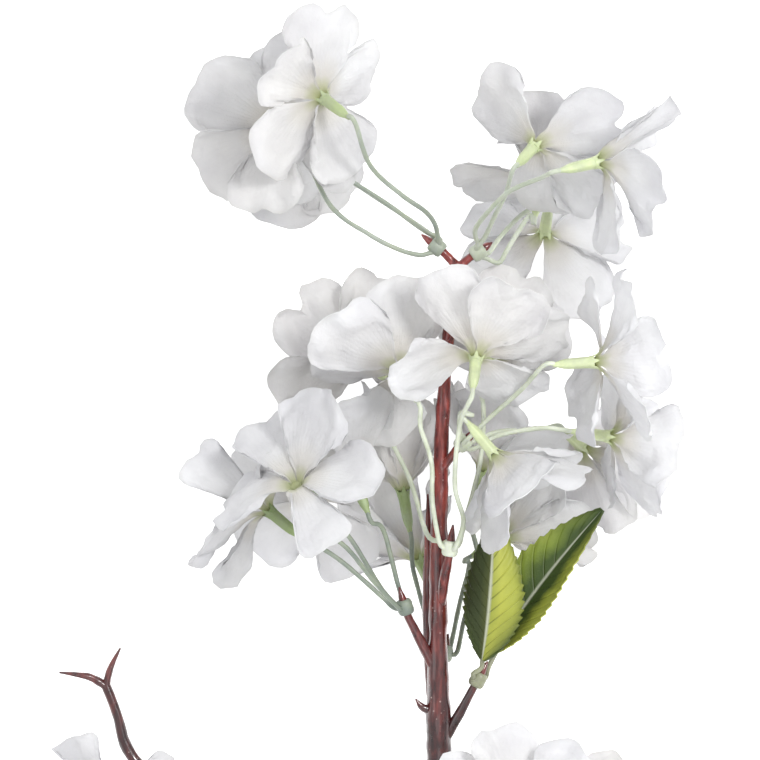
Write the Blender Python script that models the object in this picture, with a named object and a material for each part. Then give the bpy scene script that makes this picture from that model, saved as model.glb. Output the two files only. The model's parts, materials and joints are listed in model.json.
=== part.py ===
"""Artificial apple blossom branch, lying on a table.

The main stem runs along Y: its forks point to +Y and its plain cut end to -Y. X is across it and Z is up
from the table, which is Z = 0. Sizes and places in the tables are millimetres and angles are degrees.
The branch rests on the lowest petals of its rear blooms, on both sides of the stem, and on the cut end.
"""

import math
import random
from collections import namedtuple

import bpy
from mathutils import Matrix, Vector
from mathutils.bvhtree import BVHTree

MM = 0.001
GAP = 0.3

# The middle of the whole branch in plan, which becomes the origin
CENTRE_X = -13.8
CENTRE_Y = -60.6

# Petals
PETALS = 5
PETAL_LENGTH = 27.5
PETAL_THICKNESS = 0.7
PETAL_FAN = 50.0
PETAL_SHOULDER = 0.2
EDGE_GAP = 0.5
MIN_SPACING = 52.0
TEST_THICKNESS = 1.2
BENDS = [8.0, -8.0, 16.0, -16.0, 24.0, -24.0, 34.0, -34.0, 46.0, -46.0, 60.0]
THROAT_SLOPE = 62.0
THROAT_FADE = 0.11
RING_RADIUS = 1.75
NECK_RADIUS = 0.8
NECK_TOP = -0.42
NECK_LENGTH = 4.2
MIN_TILT = -35.0
MAX_TILT = 74.0
MAX_HALF_SECTOR = 47.0
NARROW_HALF = 23.0
FRONT_SHARE = 1.6
FAR_SIDE = 270.0
FAR_SIDE_FIRST = 50.0

# Calyx tubes, their stalks and collars
CALYX_LENGTH = 11.0
CALYX_RADIUS = 1.8
CALYX_BORE = 1.15
CALYX_DEPTH = 5.4
CALYX_DROP = 0.7
STALK_RADIUS = 0.72
STALK_APPROACH = 4.0
COLLAR_LENGTH = 4.6
COLLAR_RADIUS = 2.5
COLLAR_BORE = 1.62
COLLAR_WALL_MIDDLE = 2.05

# Twigs
TWIG_RADIUS = 1.2
TIP_RADIUS = 0.3
WIRE_RADIUS = 1.0
WIRE_BORE = 1.4
SOCKET_RADIUS = 3.3
SOCKET_LENGTH = 11.0
SOCKET_DEPTH = 5.6
PIN_RADIUS = 1.7
BRANCH_RADIUS = 2.5

# Leaves
LEAF_THICKNESS = 0.7
LEAF_TEETH = 9
LEAF_TOOTH_DEPTH = 0.09
RIB_RADIUS = 0.75

# x, y, z of the main stem's middle line and its radius there, from the cut end to the top fork
STEM_PATH = [
    (17.0, -232.0, 3.3, 3.6),
    (16.0, -200.0, 11.0, 3.6),
    (16.6, -165.0, 26.0, 3.5),
    (18.0, -130.0, 40.0, 3.4),
    (17.6, -104.0, 47.0, 3.5),
    (17.4, -78.0, 50.0, 2.9),
    (17.6, -54.0, 51.0, 2.6),
    (18.0, -36.0, 51.5, 2.4),
    (18.6, -15.0, 52.0, 2.1),
    (20.4, 12.0, 53.0, 1.8),
    (23.4, 33.6, 54.0, 1.7),
]
WIRE_END = -60.0

# Points and radius of twigs that carry no whorl, each with its root sunk in the main stem
SPURS = {
    "dark_strand": [
        (17.2, -104.0, 46.5, 1.9),
        (15.4, -92.0, 45.4, 1.7),
        (14.4, -72.0, 45.2, 1.6),
        (14.6, -54.0, 45.6, 1.5),
        (14.4, -34.5, 46.0, TIP_RADIUS),
    ],
    "upper_spur": [(20.3, 8.0, 53.2, 1.3), (21.0, 11.0, 56.2, 1.0), (21.8, 13.4, 58.8, TIP_RADIUS)],
    "knot_spur": [(17.0, -100.0, 47.0, 1.6), (13.0, -98.5, 48.5, 1.2), (10.8, -96.0, 49.5, TIP_RADIUS)],
}

# The side branch's way from its pin, and its two spurs
SIDE_ROOT = (16.4, -188.0, 16.0)
SIDE_WAY = (152.0, 14.0)
SIDE_PATH = [
    (-12.0, -168.0, 24.5, 2.4),
    (-34.0, -150.0, 28.0, 2.3),
    (-56.0, -133.0, 31.0, 2.1),
    (-74.7, -114.0, 33.0, 1.9),
    (-79.4, -101.0, 34.0, 1.6),
    (-83.0, -91.6, 34.5, 1.4),
]
SIDE_SPURS = [
    [(-82.6, -92.6, 34.5, 1.3), (-88.0, -89.6, 35.5, 1.1), (-96.6, -88.3, 37.0, TIP_RADIUS)],
    [(-82.8, -92.6, 34.5, 1.3), (-81.4, -87.0, 36.0, 1.0), (-78.4, -81.0, 38.5, TIP_RADIUS)],
]

Bloom = namedtuple("Bloom", "mouth facing route bow tilt petals")
Cluster = namedtuple("Cluster", "collar along tip root blooms")
Leaf = namedtuple("Leaf", "base middle tip up width fold_left fold_right route")

# A way is (turn from +X towards +Y, lift from the table). A cluster has its collar's middle, the way its
# twig points there, how far the twig reaches past it, and the points where the twig grows from the stem. A
# bloom has the middle of its calyx's mouth, the way it faces, the plan points that its stalk passes, how
# far the stalk bows upwards, how far its other petals close, and the petals that are set by hand: each has
# its way, its notch and the widest half of its sector. The others fill the widest gap.
CLUSTERS = {
    "top_left": Cluster(
        (17.1, 39.9, 54.0), (141, 0), 5.8, [(23.4, 33.6, 54.0)],
        [
            Bloom((-16.5, 83.4, 88.0), (142, -40), [(16.5, 46.5), (13.5, 50.4), (6, 55.5), (-3, 63.9)], 3, 20,
                  [(90, 10, 0.22), (240, 0, 0.05), (150, 62, 0.05, 24), (296, -18, 0.05, 30),
                   (95, -60, 0.05, 24)]),
            Bloom((-29.4, 75.0, 66.0), (150, 66), [(12, 37.5), (6, 39), (-3, 43.5), (-15, 52.5)], 2, 10,
                  [(152, 6, 0.1), (203, 2, 0.05, 28), (254, 30, 0.08, 28), (-28, -15, 0.1, 21)]),
            Bloom((-27.0, 74.0, 46.0), (140, -60), [(13, 45), (2, 53), (-12, 62)], -4, 64, []),
            Bloom((-24.0, 69.0, 15.5), (170, -82), [(15, 44), (2, 53)], -6, 60, []),
        ],
    ),
    "top_right": Cluster(
        (29.4, 38.4, 54.0), (34, 0), 5.0, [(23.4, 33.6, 54.0)],
        [
            Bloom((64.2, 64.5, 92.0), (13, -22), [(28.5, 45), (33, 51), (39, 56.4), (48, 60)], 4, 70,
                  [(-28, 26, 0.2), (38, 10, 0.03, 12), (268, 0, 0.05, 21), (30, -40, 0.05, 24),
                   (330, -50, 0.05, 24)]),
            Bloom((45.9, 69.6, 70.0), (48, -50), [(31.5, 43), (34.5, 49.5), (37.5, 55.5)], 3, 50,
                  [(132, -36, 0.06), (18, -14, 0.27)]),
            Bloom((48.3, 58.8, 41.0), (80, -35), [(33, 36), (36, 35.4), (39, 40.5), (45, 49.5)], -2, 50,
                  [(183, -35, 0.1, 24), (15, -15, 0.1, 26)]),
            Bloom((50.0, 45.0, 20.0), (262, -50), [(33, 38.5), (37, 44), (43, 50)], -3, 40,
                  [(212, -8), (306, -8)]),
        ],
    ),
    "centre": Cluster(
        (21.0, -50.4, 60.0), (83, 10), 7.0, [(18.3, -68.0, 51.0), (19.6, -58.0, 57.0)],
        [
            Bloom((28.5, 6.0, 84.0), (83, -42), [(24.9, -42), (22.5, -33), (22.5, -24), (24, -12)], 3, 20,
                  [(203, 34, 0.05), (118, -8, 0.04), (68, -6, 0.08), (22, -26, 0.1), (-47, -28, 0.1)]),
            Bloom((6.3, 2.1, 66.0), (119, -38), [(17, -45), (15.6, -36), (15.3, -24.3), (12.1, -14)], 4, 40,
                  [(86, -4, 0.05), (134, -20, 0.1), (183, -18, 0.06), (226, -30, 0.1)]),
            Bloom((-4.0, 5.4, 38.0), (140, -45), [(14, -46), (9, -30), (1, -12)], -2, 55,
                  [(142, -10, 0.25), (88, -20, 0.1)]),
            Bloom((33.0, 6.0, 50.0), (60, -55), [(25, -44), (30, -25), (31, -8)], -4, 58, []),
        ],
    ),
    "left": Cluster(
        (7.5, -68.1, 55.0), (107, 10), 6.2, [(17.0, -88.0, 49.5), (12.0, -78.0, 52.0)],
        [
            Bloom((-33.0, -39.6, 52.0), (140, -15), [(0, -64.5), (-12, -54), (-21, -48.6)], 2, 25,
                  [(154, 22, 0.1), (100, 40, 0.05, 24), (247, -15, 0.05, 21), (204, 45, 0.1, 24)]),
            Bloom((-24.6, -32.1, 82.0), (115, 35), [(-2, -60), (-10, -50)], 6, 74,
                  [(86, -5, 0.03), (130, -30, 0.1, 23), (-10, 35, 0.05), (302, -10, 0.05, 15),
                   (190, -50, 0.05, 24)]),
            Bloom((-8.0, -29.0, 54.0), (112, -8), [(5, -60), (1, -45)], -3, 60, []),
            Bloom((-20.0, -36.0, 39.0), (148, -70), [(0, -62), (-8, -49)], -4, 69, [(-72, -70, 0.05, 21)]),
        ],
    ),
    "right": Cluster(
        (24.9, -18.9, 56.0), (45, 12), 6.0, [(18.4, -27.0, 52.0)],
        [
            Bloom((63.6, 5.4, 82.0), (4, -5), [(32, -12), (42, -3)], 0, 20,
                  [(55, 12, 0.1), (105, -40, 0.1), (7, 28, 0.2), (-52, 8, 0.1), (240, -38, 0.22)]),
            Bloom((68.4, -16.9, 56.0), (-8, -18), [(36, -16.5), (48, -14.4)], 4, 10,
                  [(-4, 22, 0.18), (75, 40, 0.05), (-57, 0, 0.1)]),
            Bloom((61.0, -20.0, 27.0), (-41, -50), [(36, -15.5), (48, -15)], -1, 60, [(-64, -35)]),
            Bloom((33.6, -21.6, 72.0), (-50, -5), [(24, -10), (27.5, -10.5)], 3, 45,
                  [(-15, 8, 0.08), (-50, 30, 0.1), (-88, 8, 0.08)]),
        ],
    ),
    "low_centre": Cluster(
        (19.5, -82.5, 40.0), (80, -12), 6.0, [(17.6, -95.0, 47.5), (18.8, -89.0, 42.0)],
        [
            Bloom((7.0, -34.0, 30.0), (100, -8), [(14, -72), (10, -57)], 0, 68, []),
            Bloom((12.0, -55.0, 14.0), (115, -20), [(15, -72)], -3, 66, []),
            Bloom((31.0, -28.0, 32.0), (75, -5), [(25.5, -72), (30, -57)], 0, 70, []),
            Bloom((37.0, -48.0, 25.0), (30, -25), [(24, -68), (27, -56)], -3, 62, []),
        ],
    ),
    "bottom": Cluster(
        (36.0, -148.0, 44.0), (30, 15), 6.0, [(17.4, -160.0, 28.5), (27.0, -153.5, 38.0)],
        [
            Bloom((41.5, -131.0, 66.0), (70, 50), [(39.5, -141)], 3, 20, [(98, 15), (42, 15), (152, -2)]),
            Bloom((60.0, -162.0, 48.0), (-10, 10), [(48, -152)], 2, 35, []),
            Bloom((44.0, -176.0, 56.0), (270, 10), [(40, -160)], 2, 35, []),
            Bloom((60.0, -140.0, 34.0), (30, -45), [(42, -142)], 1, 50, []),
        ],
    ),
    "side": Cluster(
        (-62.0, -146.0, 36.0), (235, 15), 6.0, [(-52.0, -136.0, 30.4), (-57.0, -140.5, 34.0)],
        [
            Bloom((-81.6, -129.5, 24.0), (160, -60), [(-68, -140)], -1, 60,
                  [(98, -5, 0.05, 21), (172, -25, 0.05, 24), (14, -35, 0.05, 24)]),
            Bloom((-90.0, -158.0, 52.0), (190, 35), [(-72, -149)], 1, 30, []),
            Bloom((-58.0, -172.0, 50.0), (280, 10), [(-61, -155)], 1, 40, []),
            Bloom((-80.0, -166.0, 30.0), (230, -35), [(-69, -153)], -1, 45, []),
        ],
    ),
}

LEAF_COLLAR = Cluster(
    (29.4, -90.0, 50.0), (62, 5), 6.0, [(18.4, -110.0, 46.0), (23.5, -101.0, 48.0)], []
)
LEAVES = [
    Leaf((30.6, -84.0, 54.0), (33.0, -64.0, 60.0), (34.0, -40.6, 58.0), (180, 84), 10.5, -24.0, -12.0,
         [(30.4, -86.5)]),
    Leaf((34.6, -82.0, 48.0), (48.0, -62.0, 47.0), (66.9, -39.0, 50.0), (120, 75), 11.5, 6.0, 30.0,
         [(32.6, -86.5)]),
]


def direction(way):
    """Unit vector of a way (turn, lift)."""
    turn, lift = (math.radians(angle) for angle in way)
    return Vector((math.cos(lift) * math.cos(turn), math.cos(lift) * math.sin(turn), math.sin(lift)))


def smoothstep(low, high, value):
    part = min(1.0, max(0.0, (value - low) / (high - low)))
    return part * part * (3.0 - 2.0 * part)


def make_material(name, colour, roughness, metallic=0.0):
    material = bpy.data.materials.new(name)
    material.use_nodes = True
    shader = material.node_tree.nodes["Principled BSDF"]
    shader.inputs["Base Color"].default_value = (*colour, 1.0)
    shader.inputs["Roughness"].default_value = roughness
    shader.inputs["Metallic"].default_value = metallic
    material.diffuse_color = (*colour, 1.0)
    return material


def make_object(name, points, faces, material, placement=None):
    """Object with its points given in millimetres in its own axes."""
    mesh = bpy.data.meshes.new(name)
    mesh.from_pydata([Vector(point) * MM for point in points], [], faces)
    mesh.materials.append(material)
    mesh.shade_smooth()
    thing = bpy.data.objects.new(name, mesh)
    if placement is not None:
        thing.matrix_world = placement
    bpy.context.collection.objects.link(thing)
    return thing


def smooth_path(points, count):
    """Catmull-Rom curve through points of any dimension, as evenly spaced points."""
    padded = [points[0], *points, points[-1]]
    fine = []
    steps = 12
    for before, start, end, after in zip(padded, padded[1:], padded[2:], padded[3:]):
        for step in range(steps):
            t = step / steps
            fine.append([
                0.5 * (2 * b + (c - a) * t + (2 * a - 5 * b + 4 * c - d) * t * t
                       + (3 * b - a - 3 * c + d) * t ** 3)
                for a, b, c, d in zip(before, start, end, after)
            ])
    fine.append(list(points[-1]))
    lengths = [0.0]
    for one, two in zip(fine, fine[1:]):
        lengths.append(lengths[-1] + math.dist(one[:3], two[:3]))
    result = []
    index = 0
    for number in range(count):
        target = lengths[-1] * number / (count - 1)
        while index < len(lengths) - 2 and lengths[index + 1] < target:
            index += 1
        span = lengths[index + 1] - lengths[index]
        part = min(1.0, (target - lengths[index]) / span) if span else 0.0
        result.append([a + (b - a) * part for a, b in zip(fine[index], fine[index + 1])])
    return result


def path_rings(path):
    """Turns a path of (x, y, z, radius) into rings of (middle, axis, radius)."""
    rings = []
    for number, point in enumerate(path):
        after = Vector(path[min(number + 1, len(path) - 1)][:3])
        before = Vector(path[max(number - 1, 0)][:3])
        rings.append((Vector(point[:3]), (after - before).normalized(), point[3]))
    return rings


def sweep(rings, sides):
    """Closed surface through rings of (middle, axis, radius), each turned as little as possible."""
    points = []
    faces = []
    across = rings[0][1].orthogonal().normalized()
    for middle, axis, radius in rings:
        across = (across - axis * across.dot(axis)).normalized()
        other = axis.cross(across)
        for side in range(sides):
            angle = 2.0 * math.pi * side / sides
            points.append(middle + across * (radius * math.cos(angle)) + other * (radius * math.sin(angle)))
    for ring in range(len(rings) - 1):
        for side in range(sides):
            following = (side + 1) % sides
            low = ring * sides
            high = low + sides
            faces.append((low + side, low + following, high + following, high + side))
    faces.append(tuple(reversed(range(sides))))
    faces.append(tuple(range((len(rings) - 1) * sides, len(rings) * sides)))
    return points, faces


def boolean(base, others, operation, solver="EXACT"):
    """Joins others to base, or cuts them from it, and removes them."""
    group = bpy.data.collections.new("group")
    for other in others:
        group.objects.link(other)
    modifier = base.modifiers.new("boolean", "BOOLEAN")
    modifier.operation = operation
    modifier.solver = solver
    modifier.operand_type = "COLLECTION"
    modifier.collection = group
    graph = bpy.context.evaluated_depsgraph_get()
    mesh = bpy.data.meshes.new_from_object(base.evaluated_get(graph))
    base.modifiers.clear()
    base.data = mesh
    for other in others:
        bpy.data.objects.remove(other)
    bpy.data.collections.remove(group)
    mesh.shade_smooth()
    mesh.set_sharp_from_angle(angle=math.radians(50.0))


def twig_path(cluster):
    """Points and radii of the twig that carries a whorl, straight where the collar sits."""
    along = direction(cluster.along)
    collar = Vector(cluster.collar)
    half = COLLAR_LENGTH / 2 + 0.4
    root_radius = TWIG_RADIUS + 0.35
    path = [(*point, root_radius) for point in cluster.root]
    path.append((*(collar - along * half), TWIG_RADIUS))
    path.append((*(collar + along * half), TWIG_RADIUS))
    path.append((*(collar + along * cluster.tip), TIP_RADIUS))
    return path


def twig(name, path, material, sides=6):
    points, faces = sweep(path_rings(path), sides)
    return make_object(name, points, faces, material)


def collar_parts(name, cluster, material):
    """Ring round the twig's end."""
    along = direction(cluster.along)
    low = Vector(cluster.collar) - along * (COLLAR_LENGTH / 2)
    high = Vector(cluster.collar) + along * (COLLAR_LENGTH / 2)
    sides = 8
    points, faces = sweep(
        [(low, along, COLLAR_BORE), (low, along, COLLAR_RADIUS), (high, along, COLLAR_RADIUS),
         (high, along, COLLAR_BORE)],
        sides,
    )
    del faces[-2:]
    last = 3 * sides
    for side in range(sides):
        following = (side + 1) % sides
        faces.append((last + side, last + following, following, side))
    return make_object(name, points, faces, material)


def stalk_start(cluster, towards):
    """Two points that leave the collar's wall straight out, on the side that faces a target."""
    along = direction(cluster.along)
    collar = Vector(cluster.collar)
    out = towards - collar
    lean = math.copysign(1.3, out.dot(along))
    out = (out - along * out.dot(along)).normalized()
    return [collar + out * COLLAR_WALL_MIDDLE, collar + out * (COLLAR_RADIUS + 1.2) + along * lean]


def bloom_route(cluster, bloom):
    """Middle line of the stalk, from inside the collar's wall to the calyx's base."""
    facing = direction(bloom.facing)
    base = Vector(bloom.mouth) - facing * CALYX_LENGTH
    collar = Vector(cluster.collar)
    plan = [collar.to_2d(), *[Vector(point) for point in bloom.route], base.to_2d()]
    run = [0.0]
    for one, two in zip(plan, plan[1:]):
        run.append(run[-1] + (two - one).length)
    via = []
    for point, distance in zip(plan[1:-1], run[1:-1]):
        part = distance / run[-1]
        height = collar.z + (base.z - collar.z) * part + bloom.bow * math.sin(math.pi * part)
        via.append(Vector((*point, height)))
    start = stalk_start(cluster, via[0])
    return [*start, *via, base - facing * STALK_APPROACH, base]


def stalk_rings(cluster, bloom):
    """Rings of a stalk and of the calyx tube that it widens into, ending at the bottom of its bore."""
    facing = direction(bloom.facing)
    mouth = Vector(bloom.mouth)
    base = mouth - facing * CALYX_LENGTH
    route = [(*point, STALK_RADIUS) for point in bloom_route(cluster, bloom)]
    rings = path_rings(smooth_path(route, 7))[:-1]
    return rings + [
        (base, facing, STALK_RADIUS * 1.15),
        (base + facing * CALYX_LENGTH * 0.3, facing, CALYX_RADIUS * 0.86),
        (mouth, facing, CALYX_RADIUS),
        (mouth, facing, CALYX_BORE),
        (mouth - facing * CALYX_DEPTH, facing, CALYX_BORE),
    ]


def whorl(name, cluster, material):
    """Collar with its stalks and calyx tubes, moulded as one piece."""
    whole = collar_parts(name, cluster, material)
    stalks = []
    for bloom in cluster.blooms:
        points, faces = sweep(stalk_rings(cluster, bloom), 5)
        stalks.append(make_object("stalk", points, faces, material))
    boolean(whole, stalks, "UNION")
    return whole


Petal = namedtuple(
    "Petal", "turn tilt notch widest before after length cup twist curl wave phase"
)


def bloom_frame(bloom):
    """Matrix whose Z is the way the bloom faces, at the height of the corolla's ring, in millimetres."""
    axis = direction(bloom.facing)
    side = Vector((0.0, 0.0, 1.0)).cross(axis)
    side = side.normalized() if side.length > 0.05 else Vector((1.0, 0.0, 0.0))
    up = axis.cross(side)
    frame = Matrix((side, up, axis)).transposed().to_4x4()
    frame.translation = Vector(bloom.mouth) + axis * CALYX_DROP
    return frame


def bloom_petals(bloom, seed):
    """Works out five petals round the bloom from the hand-set ways, and fills the widest gaps."""
    draw = random.Random(seed)
    inverse = bloom_frame(bloom).to_3x3().transposed()
    known = []
    for turn, lift, *more in bloom.petals:
        local = inverse @ direction((turn, lift))
        tilt = math.degrees(math.asin(max(-1.0, min(1.0, local.z))))
        depth = more[0] if more else draw.uniform(0.0, 0.13)
        widest = more[1] if len(more) > 1 else MAX_HALF_SECTOR
        known.append((math.degrees(math.atan2(local.y, local.x)) % 360.0, tilt, depth, widest, FRONT_SHARE))
    if not known:
        known.append((draw.uniform(0.0, 72.0), bloom.tilt, draw.uniform(0.0, 0.13), MAX_HALF_SECTOR, 1.0))
    known.sort()
    while len(known) < PETALS:
        gaps = [(known[(n + 1) % len(known)][0] - known[n][0]) % 360.0 or 360.0 for n in range(len(known))]
        far = [(FAR_SIDE - known[n][0]) % 360.0 < gaps[n] for n in range(len(known))]
        largest = max(range(len(known)), key=lambda n: gaps[n] + FAR_SIDE_FIRST * far[n])
        fill = min(PETALS - len(known), max(1, round(gaps[largest] / MIN_SPACING) - 1))
        for number in range(fill):
            turn = known[largest][0] + gaps[largest] * (number + 1) / (fill + 1)
            tilt = bloom.tilt + draw.uniform(-8.0, 10.0)
            known.append((turn % 360.0, tilt, draw.uniform(0.0, 0.13), MAX_HALF_SECTOR, 1.0))
        known.sort()
    for _ in range(80):
        for number in range(PETALS):
            one, two = known[number], known[(number + 1) % PETALS]
            lack = MIN_SPACING - (two[0] - one[0]) % 360.0
            if lack > 0.0:
                known[number] = (one[0] - lack / 2, *one[1:])
                known[(number + 1) % PETALS] = (two[0] + lack / 2, *two[1:])
    petals = []
    for number, (turn, tilt, notch, widest, share) in enumerate(known):
        last = known[number - 1]
        following = known[(number + 1) % PETALS]
        before = (turn - last[0]) % 360.0 * share / (share + last[4])
        after = (following[0] - turn) % 360.0 * share / (share + following[4])
        petals.append(Petal(
            turn=turn, tilt=max(MIN_TILT, min(MAX_TILT, tilt)), notch=notch, widest=widest,
            before=before, after=after,
            length=PETAL_LENGTH * draw.uniform(0.96, 1.06), cup=draw.uniform(-0.1, 0.4),
            twist=draw.uniform(-0.1, 0.1), curl=draw.uniform(-24.0, 10.0),
            wave=draw.uniform(0.4, 1.1), phase=draw.uniform(0.0, 6.28),
        ))
    return petals


def petal_profile(petal):
    """Distance from the axis and height along the petal's middle line, at even steps of its length."""
    steps = 40
    distance = RING_RADIUS
    height = 0.0
    profile = [(distance, height, math.radians(THROAT_SLOPE))]
    for step in range(steps):
        part = (step + 0.5) / steps
        slope = petal.tilt + (THROAT_SLOPE - petal.tilt) * math.exp(-part / THROAT_FADE)
        slope = math.radians(slope + petal.curl * part * part)
        distance += math.cos(slope) * petal.length / steps
        height += math.sin(slope) * petal.length / steps
        profile.append((distance, height, slope))
    return profile


def petal_point(petal, profile, u, v):
    """Point of the petal's middle surface: u runs from ring to edge, v from one side to the other."""
    fan = math.radians(PETAL_FAN) * v * (0.8 + 0.2 * v * v)
    reach = 1.0 - PETAL_SHOULDER * v * v - petal.notch * max(0.0, 1.0 - abs(v) / 0.48) ** 1.6
    along = u * reach * math.cos(fan * 0.92)
    lateral = u * (1.5 - 0.5 * u) * reach * math.sin(fan) * petal.length
    place = min(along, 1.0) * (len(profile) - 1)
    low = min(int(place), len(profile) - 2)
    part = place - low
    distance, height, slope = (a + (b - a) * part for a, b in zip(profile[low], profile[low + 1]))
    half = petal.after if v > 0 else petal.before
    spread = math.degrees(math.atan2(abs(lateral), distance))
    limit = min(max(half - math.degrees(EDGE_GAP / distance), half * 0.5), petal.widest)
    spread = spread / (1.0 + (spread / limit) ** 8) ** 0.125
    lateral = math.copysign(min(abs(lateral), distance * math.tan(math.radians(spread))), v)
    offset = petal.cup * lateral * lateral / petal.length + petal.twist * lateral * u
    offset += petal.wave * u * u * math.sin(3.4 * v + petal.phase)
    distance = max(distance - math.sin(slope) * offset, 0.6 * RING_RADIUS)
    height += math.cos(slope) * offset
    spread = math.degrees(math.atan2(abs(lateral), distance))
    open_part = smoothstep(0.0, 0.3, u)
    turn = abs(v) * half * (1.0 - open_part) + min(spread, limit) * open_part
    angle = math.radians(petal.turn + math.copysign(turn, v))
    radius = math.hypot(distance, lateral)
    return Vector((radius * math.cos(angle), radius * math.sin(angle), height))


def petal_surfaces(petal, profile, u, v, thickness):
    """The two points that lie half the cloth's thickness each side of the middle surface."""
    middle = petal_point(petal, profile, u, v)
    if u == 0.0:
        angle = math.atan2(middle.y, middle.x)
        slope = math.radians(THROAT_SLOPE)
        normal = Vector((-math.sin(slope) * math.cos(angle), -math.sin(slope) * math.sin(angle),
                         math.cos(slope)))
    else:
        along = petal_point(petal, profile, u, v * 0.5) - petal_point(petal, profile, u - 0.1, v * 0.5)
        side = petal_point(petal, profile, u, min(v + 0.6, 1.0))
        side -= petal_point(petal, profile, u, max(v - 0.6, -1.0))
        normal = along.cross(side).normalized()
    return middle + normal * (thickness / 2), middle - normal * (thickness / 2)


def press_down(frame, inner, outer):
    """Lays the part of a petal that would reach under the table flat on it."""
    world = [frame @ inner, frame @ outer]
    low, high = sorted(world, key=lambda point: point.z)
    if low.z < 0.0:
        low.z = 0.0
        high.z = max(high.z, PETAL_THICKNESS)
    inverse = frame.inverted()
    return [inverse @ point for point in world]


def corolla_mesh(frame, petals, thickness):
    """Points, triangles and each triangle's petal: five petals round a neck, as one closed surface."""
    rows = [(0.0, 1), (0.36, 2), (0.7, 4), (1.0, 4)]
    points = []
    faces = []
    owners = []

    def add(point):
        points.append(Vector(point))
        return len(points) - 1

    def add_pair(petal, profile, u, v):
        pair = petal_surfaces(petal, profile, u, v, thickness)
        return tuple(add(point) for point in press_down(frame, *pair))

    profiles = [petal_profile(petal) for petal in petals]
    corners = [add_pair(petal, profile, 0.0, -1.0) for petal, profile in zip(petals, profiles)]
    for number, (petal, profile) in enumerate(zip(petals, profiles)):
        grid = [[corners[number], corners[(number + 1) % PETALS]]]
        for u, columns in rows[1:]:
            grid.append([
                add_pair(petal, profile, u, 2.0 * column / columns - 1.0) for column in range(columns + 1)
            ])
        for lower, upper in zip(grid, grid[1:]):
            for triangle in strip(lower, upper):
                faces.append(tuple(pair[0] for pair in triangle))
                faces.append(tuple(pair[1] for pair in reversed(triangle)))
        edge = [line[0] for line in grid] + grid[-1][1:-1] + [line[-1] for line in reversed(grid)]
        for one, two in zip(edge, edge[1:]):
            faces += [(one[0], two[1], two[0]), (one[0], one[1], two[1])]
        owners += [number] * (len(faces) - len(owners))
    middle = add((0.0, 0.0, 0.0))
    neck = []
    for end in (NECK_TOP, -NECK_LENGTH):
        line = []
        for pair in corners:
            flat = points[pair[1]].to_2d().normalized() * NECK_RADIUS
            line.append(add((flat.x, flat.y, end)))
        neck.append(line)
    below = add((0.0, 0.0, -NECK_LENGTH))
    for number, pair in enumerate(corners):
        following = (number + 1) % PETALS
        faces.append((middle, pair[0], corners[following][0]))
        faces += quad(pair[1], corners[following][1], neck[0][following], neck[0][number], True)
        faces += quad(neck[0][number], neck[0][following], neck[1][following], neck[1][number], True)
        faces.append((below, neck[1][following], neck[1][number]))
    owners += [None] * (len(faces) - len(owners))
    return points, faces, owners


def count_crossings(frame, petals, taken):
    """How often each petal, thickened by the least gap, crosses a node built before or its own bloom."""
    points, faces, owners = corolla_mesh(frame, petals, TEST_THICKNESS)
    world = [frame @ point for point in points]
    tree = BVHTree.FromPolygons(world, faces)
    hits = [0] * PETALS
    for other in taken:
        for face, _ in tree.overlap(other):
            if owners[face] is not None:
                hits[owners[face]] += 1
    points, faces, owners = corolla_mesh(frame, petals, PETAL_THICKNESS)
    tree = BVHTree.FromPolygons(points, faces)
    for one, two in tree.overlap(tree):
        if one < two and not set(faces[one]) & set(faces[two]):
            for face in (one, two):
                if owners[face] is not None:
                    hits[owners[face]] += 1
    return hits


def bend_trials(petal):
    """The petal bent up and down by growing steps: as it is, then smooth, then smooth and narrow."""
    smooth = petal._replace(cup=0.1, twist=0.0, wave=0.0)
    narrow = smooth._replace(widest=min(petal.widest, NARROW_HALF))
    trials = []
    for form in (petal, smooth, narrow):
        trials += [form._replace(tilt=form.tilt + bend) for bend in [0.0, *BENDS]]
    return [trial for trial in trials if MIN_TILT <= trial.tilt <= MAX_TILT]


def bend_clear(frame, petals, taken):
    """Raises or lowers petals by the least bend that takes them clear of what they cross."""
    petals = list(petals)
    for _ in range(3):
        hits = count_crossings(frame, petals, taken)
        for number in sorted(range(PETALS), key=lambda n: -hits[n]):
            if hits[number] == 0:
                continue
            best = (sum(count_crossings(frame, petals, taken)), petals[number])
            for trial in bend_trials(petals[number]):
                score = sum(count_crossings(frame, [*petals[:number], trial, *petals[number + 1:]], taken))
                if score < best[0]:
                    best = (score, trial)
                if score == 0:
                    break
            petals[number] = best[1]
    return petals


def world_tree(thing):
    """Search tree of an object's faces, in millimetres."""
    points = [thing.matrix_world @ vertex.co / MM for vertex in thing.data.vertices]
    return BVHTree.FromPolygons(points, [tuple(face.vertices) for face in thing.data.polygons])


def corolla(name, bloom, seed, material, taken):
    """Five notched petals round a neck that stands in the calyx, as one cloth piece."""
    frame = bloom_frame(bloom)
    petals = bend_clear(frame, bloom_petals(bloom, seed), taken)
    points, faces, _ = corolla_mesh(frame, petals, PETAL_THICKNESS)
    placement = frame.copy()
    placement.translation = frame.translation * MM
    return make_object(name, points, faces, material, placement)


def quad(a, b, c, d, turned=False):
    """Two triangles of a four-sided face."""
    if turned:
        return [(a, d, c), (a, c, b)]
    return [(a, b, c), (a, c, d)]


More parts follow.
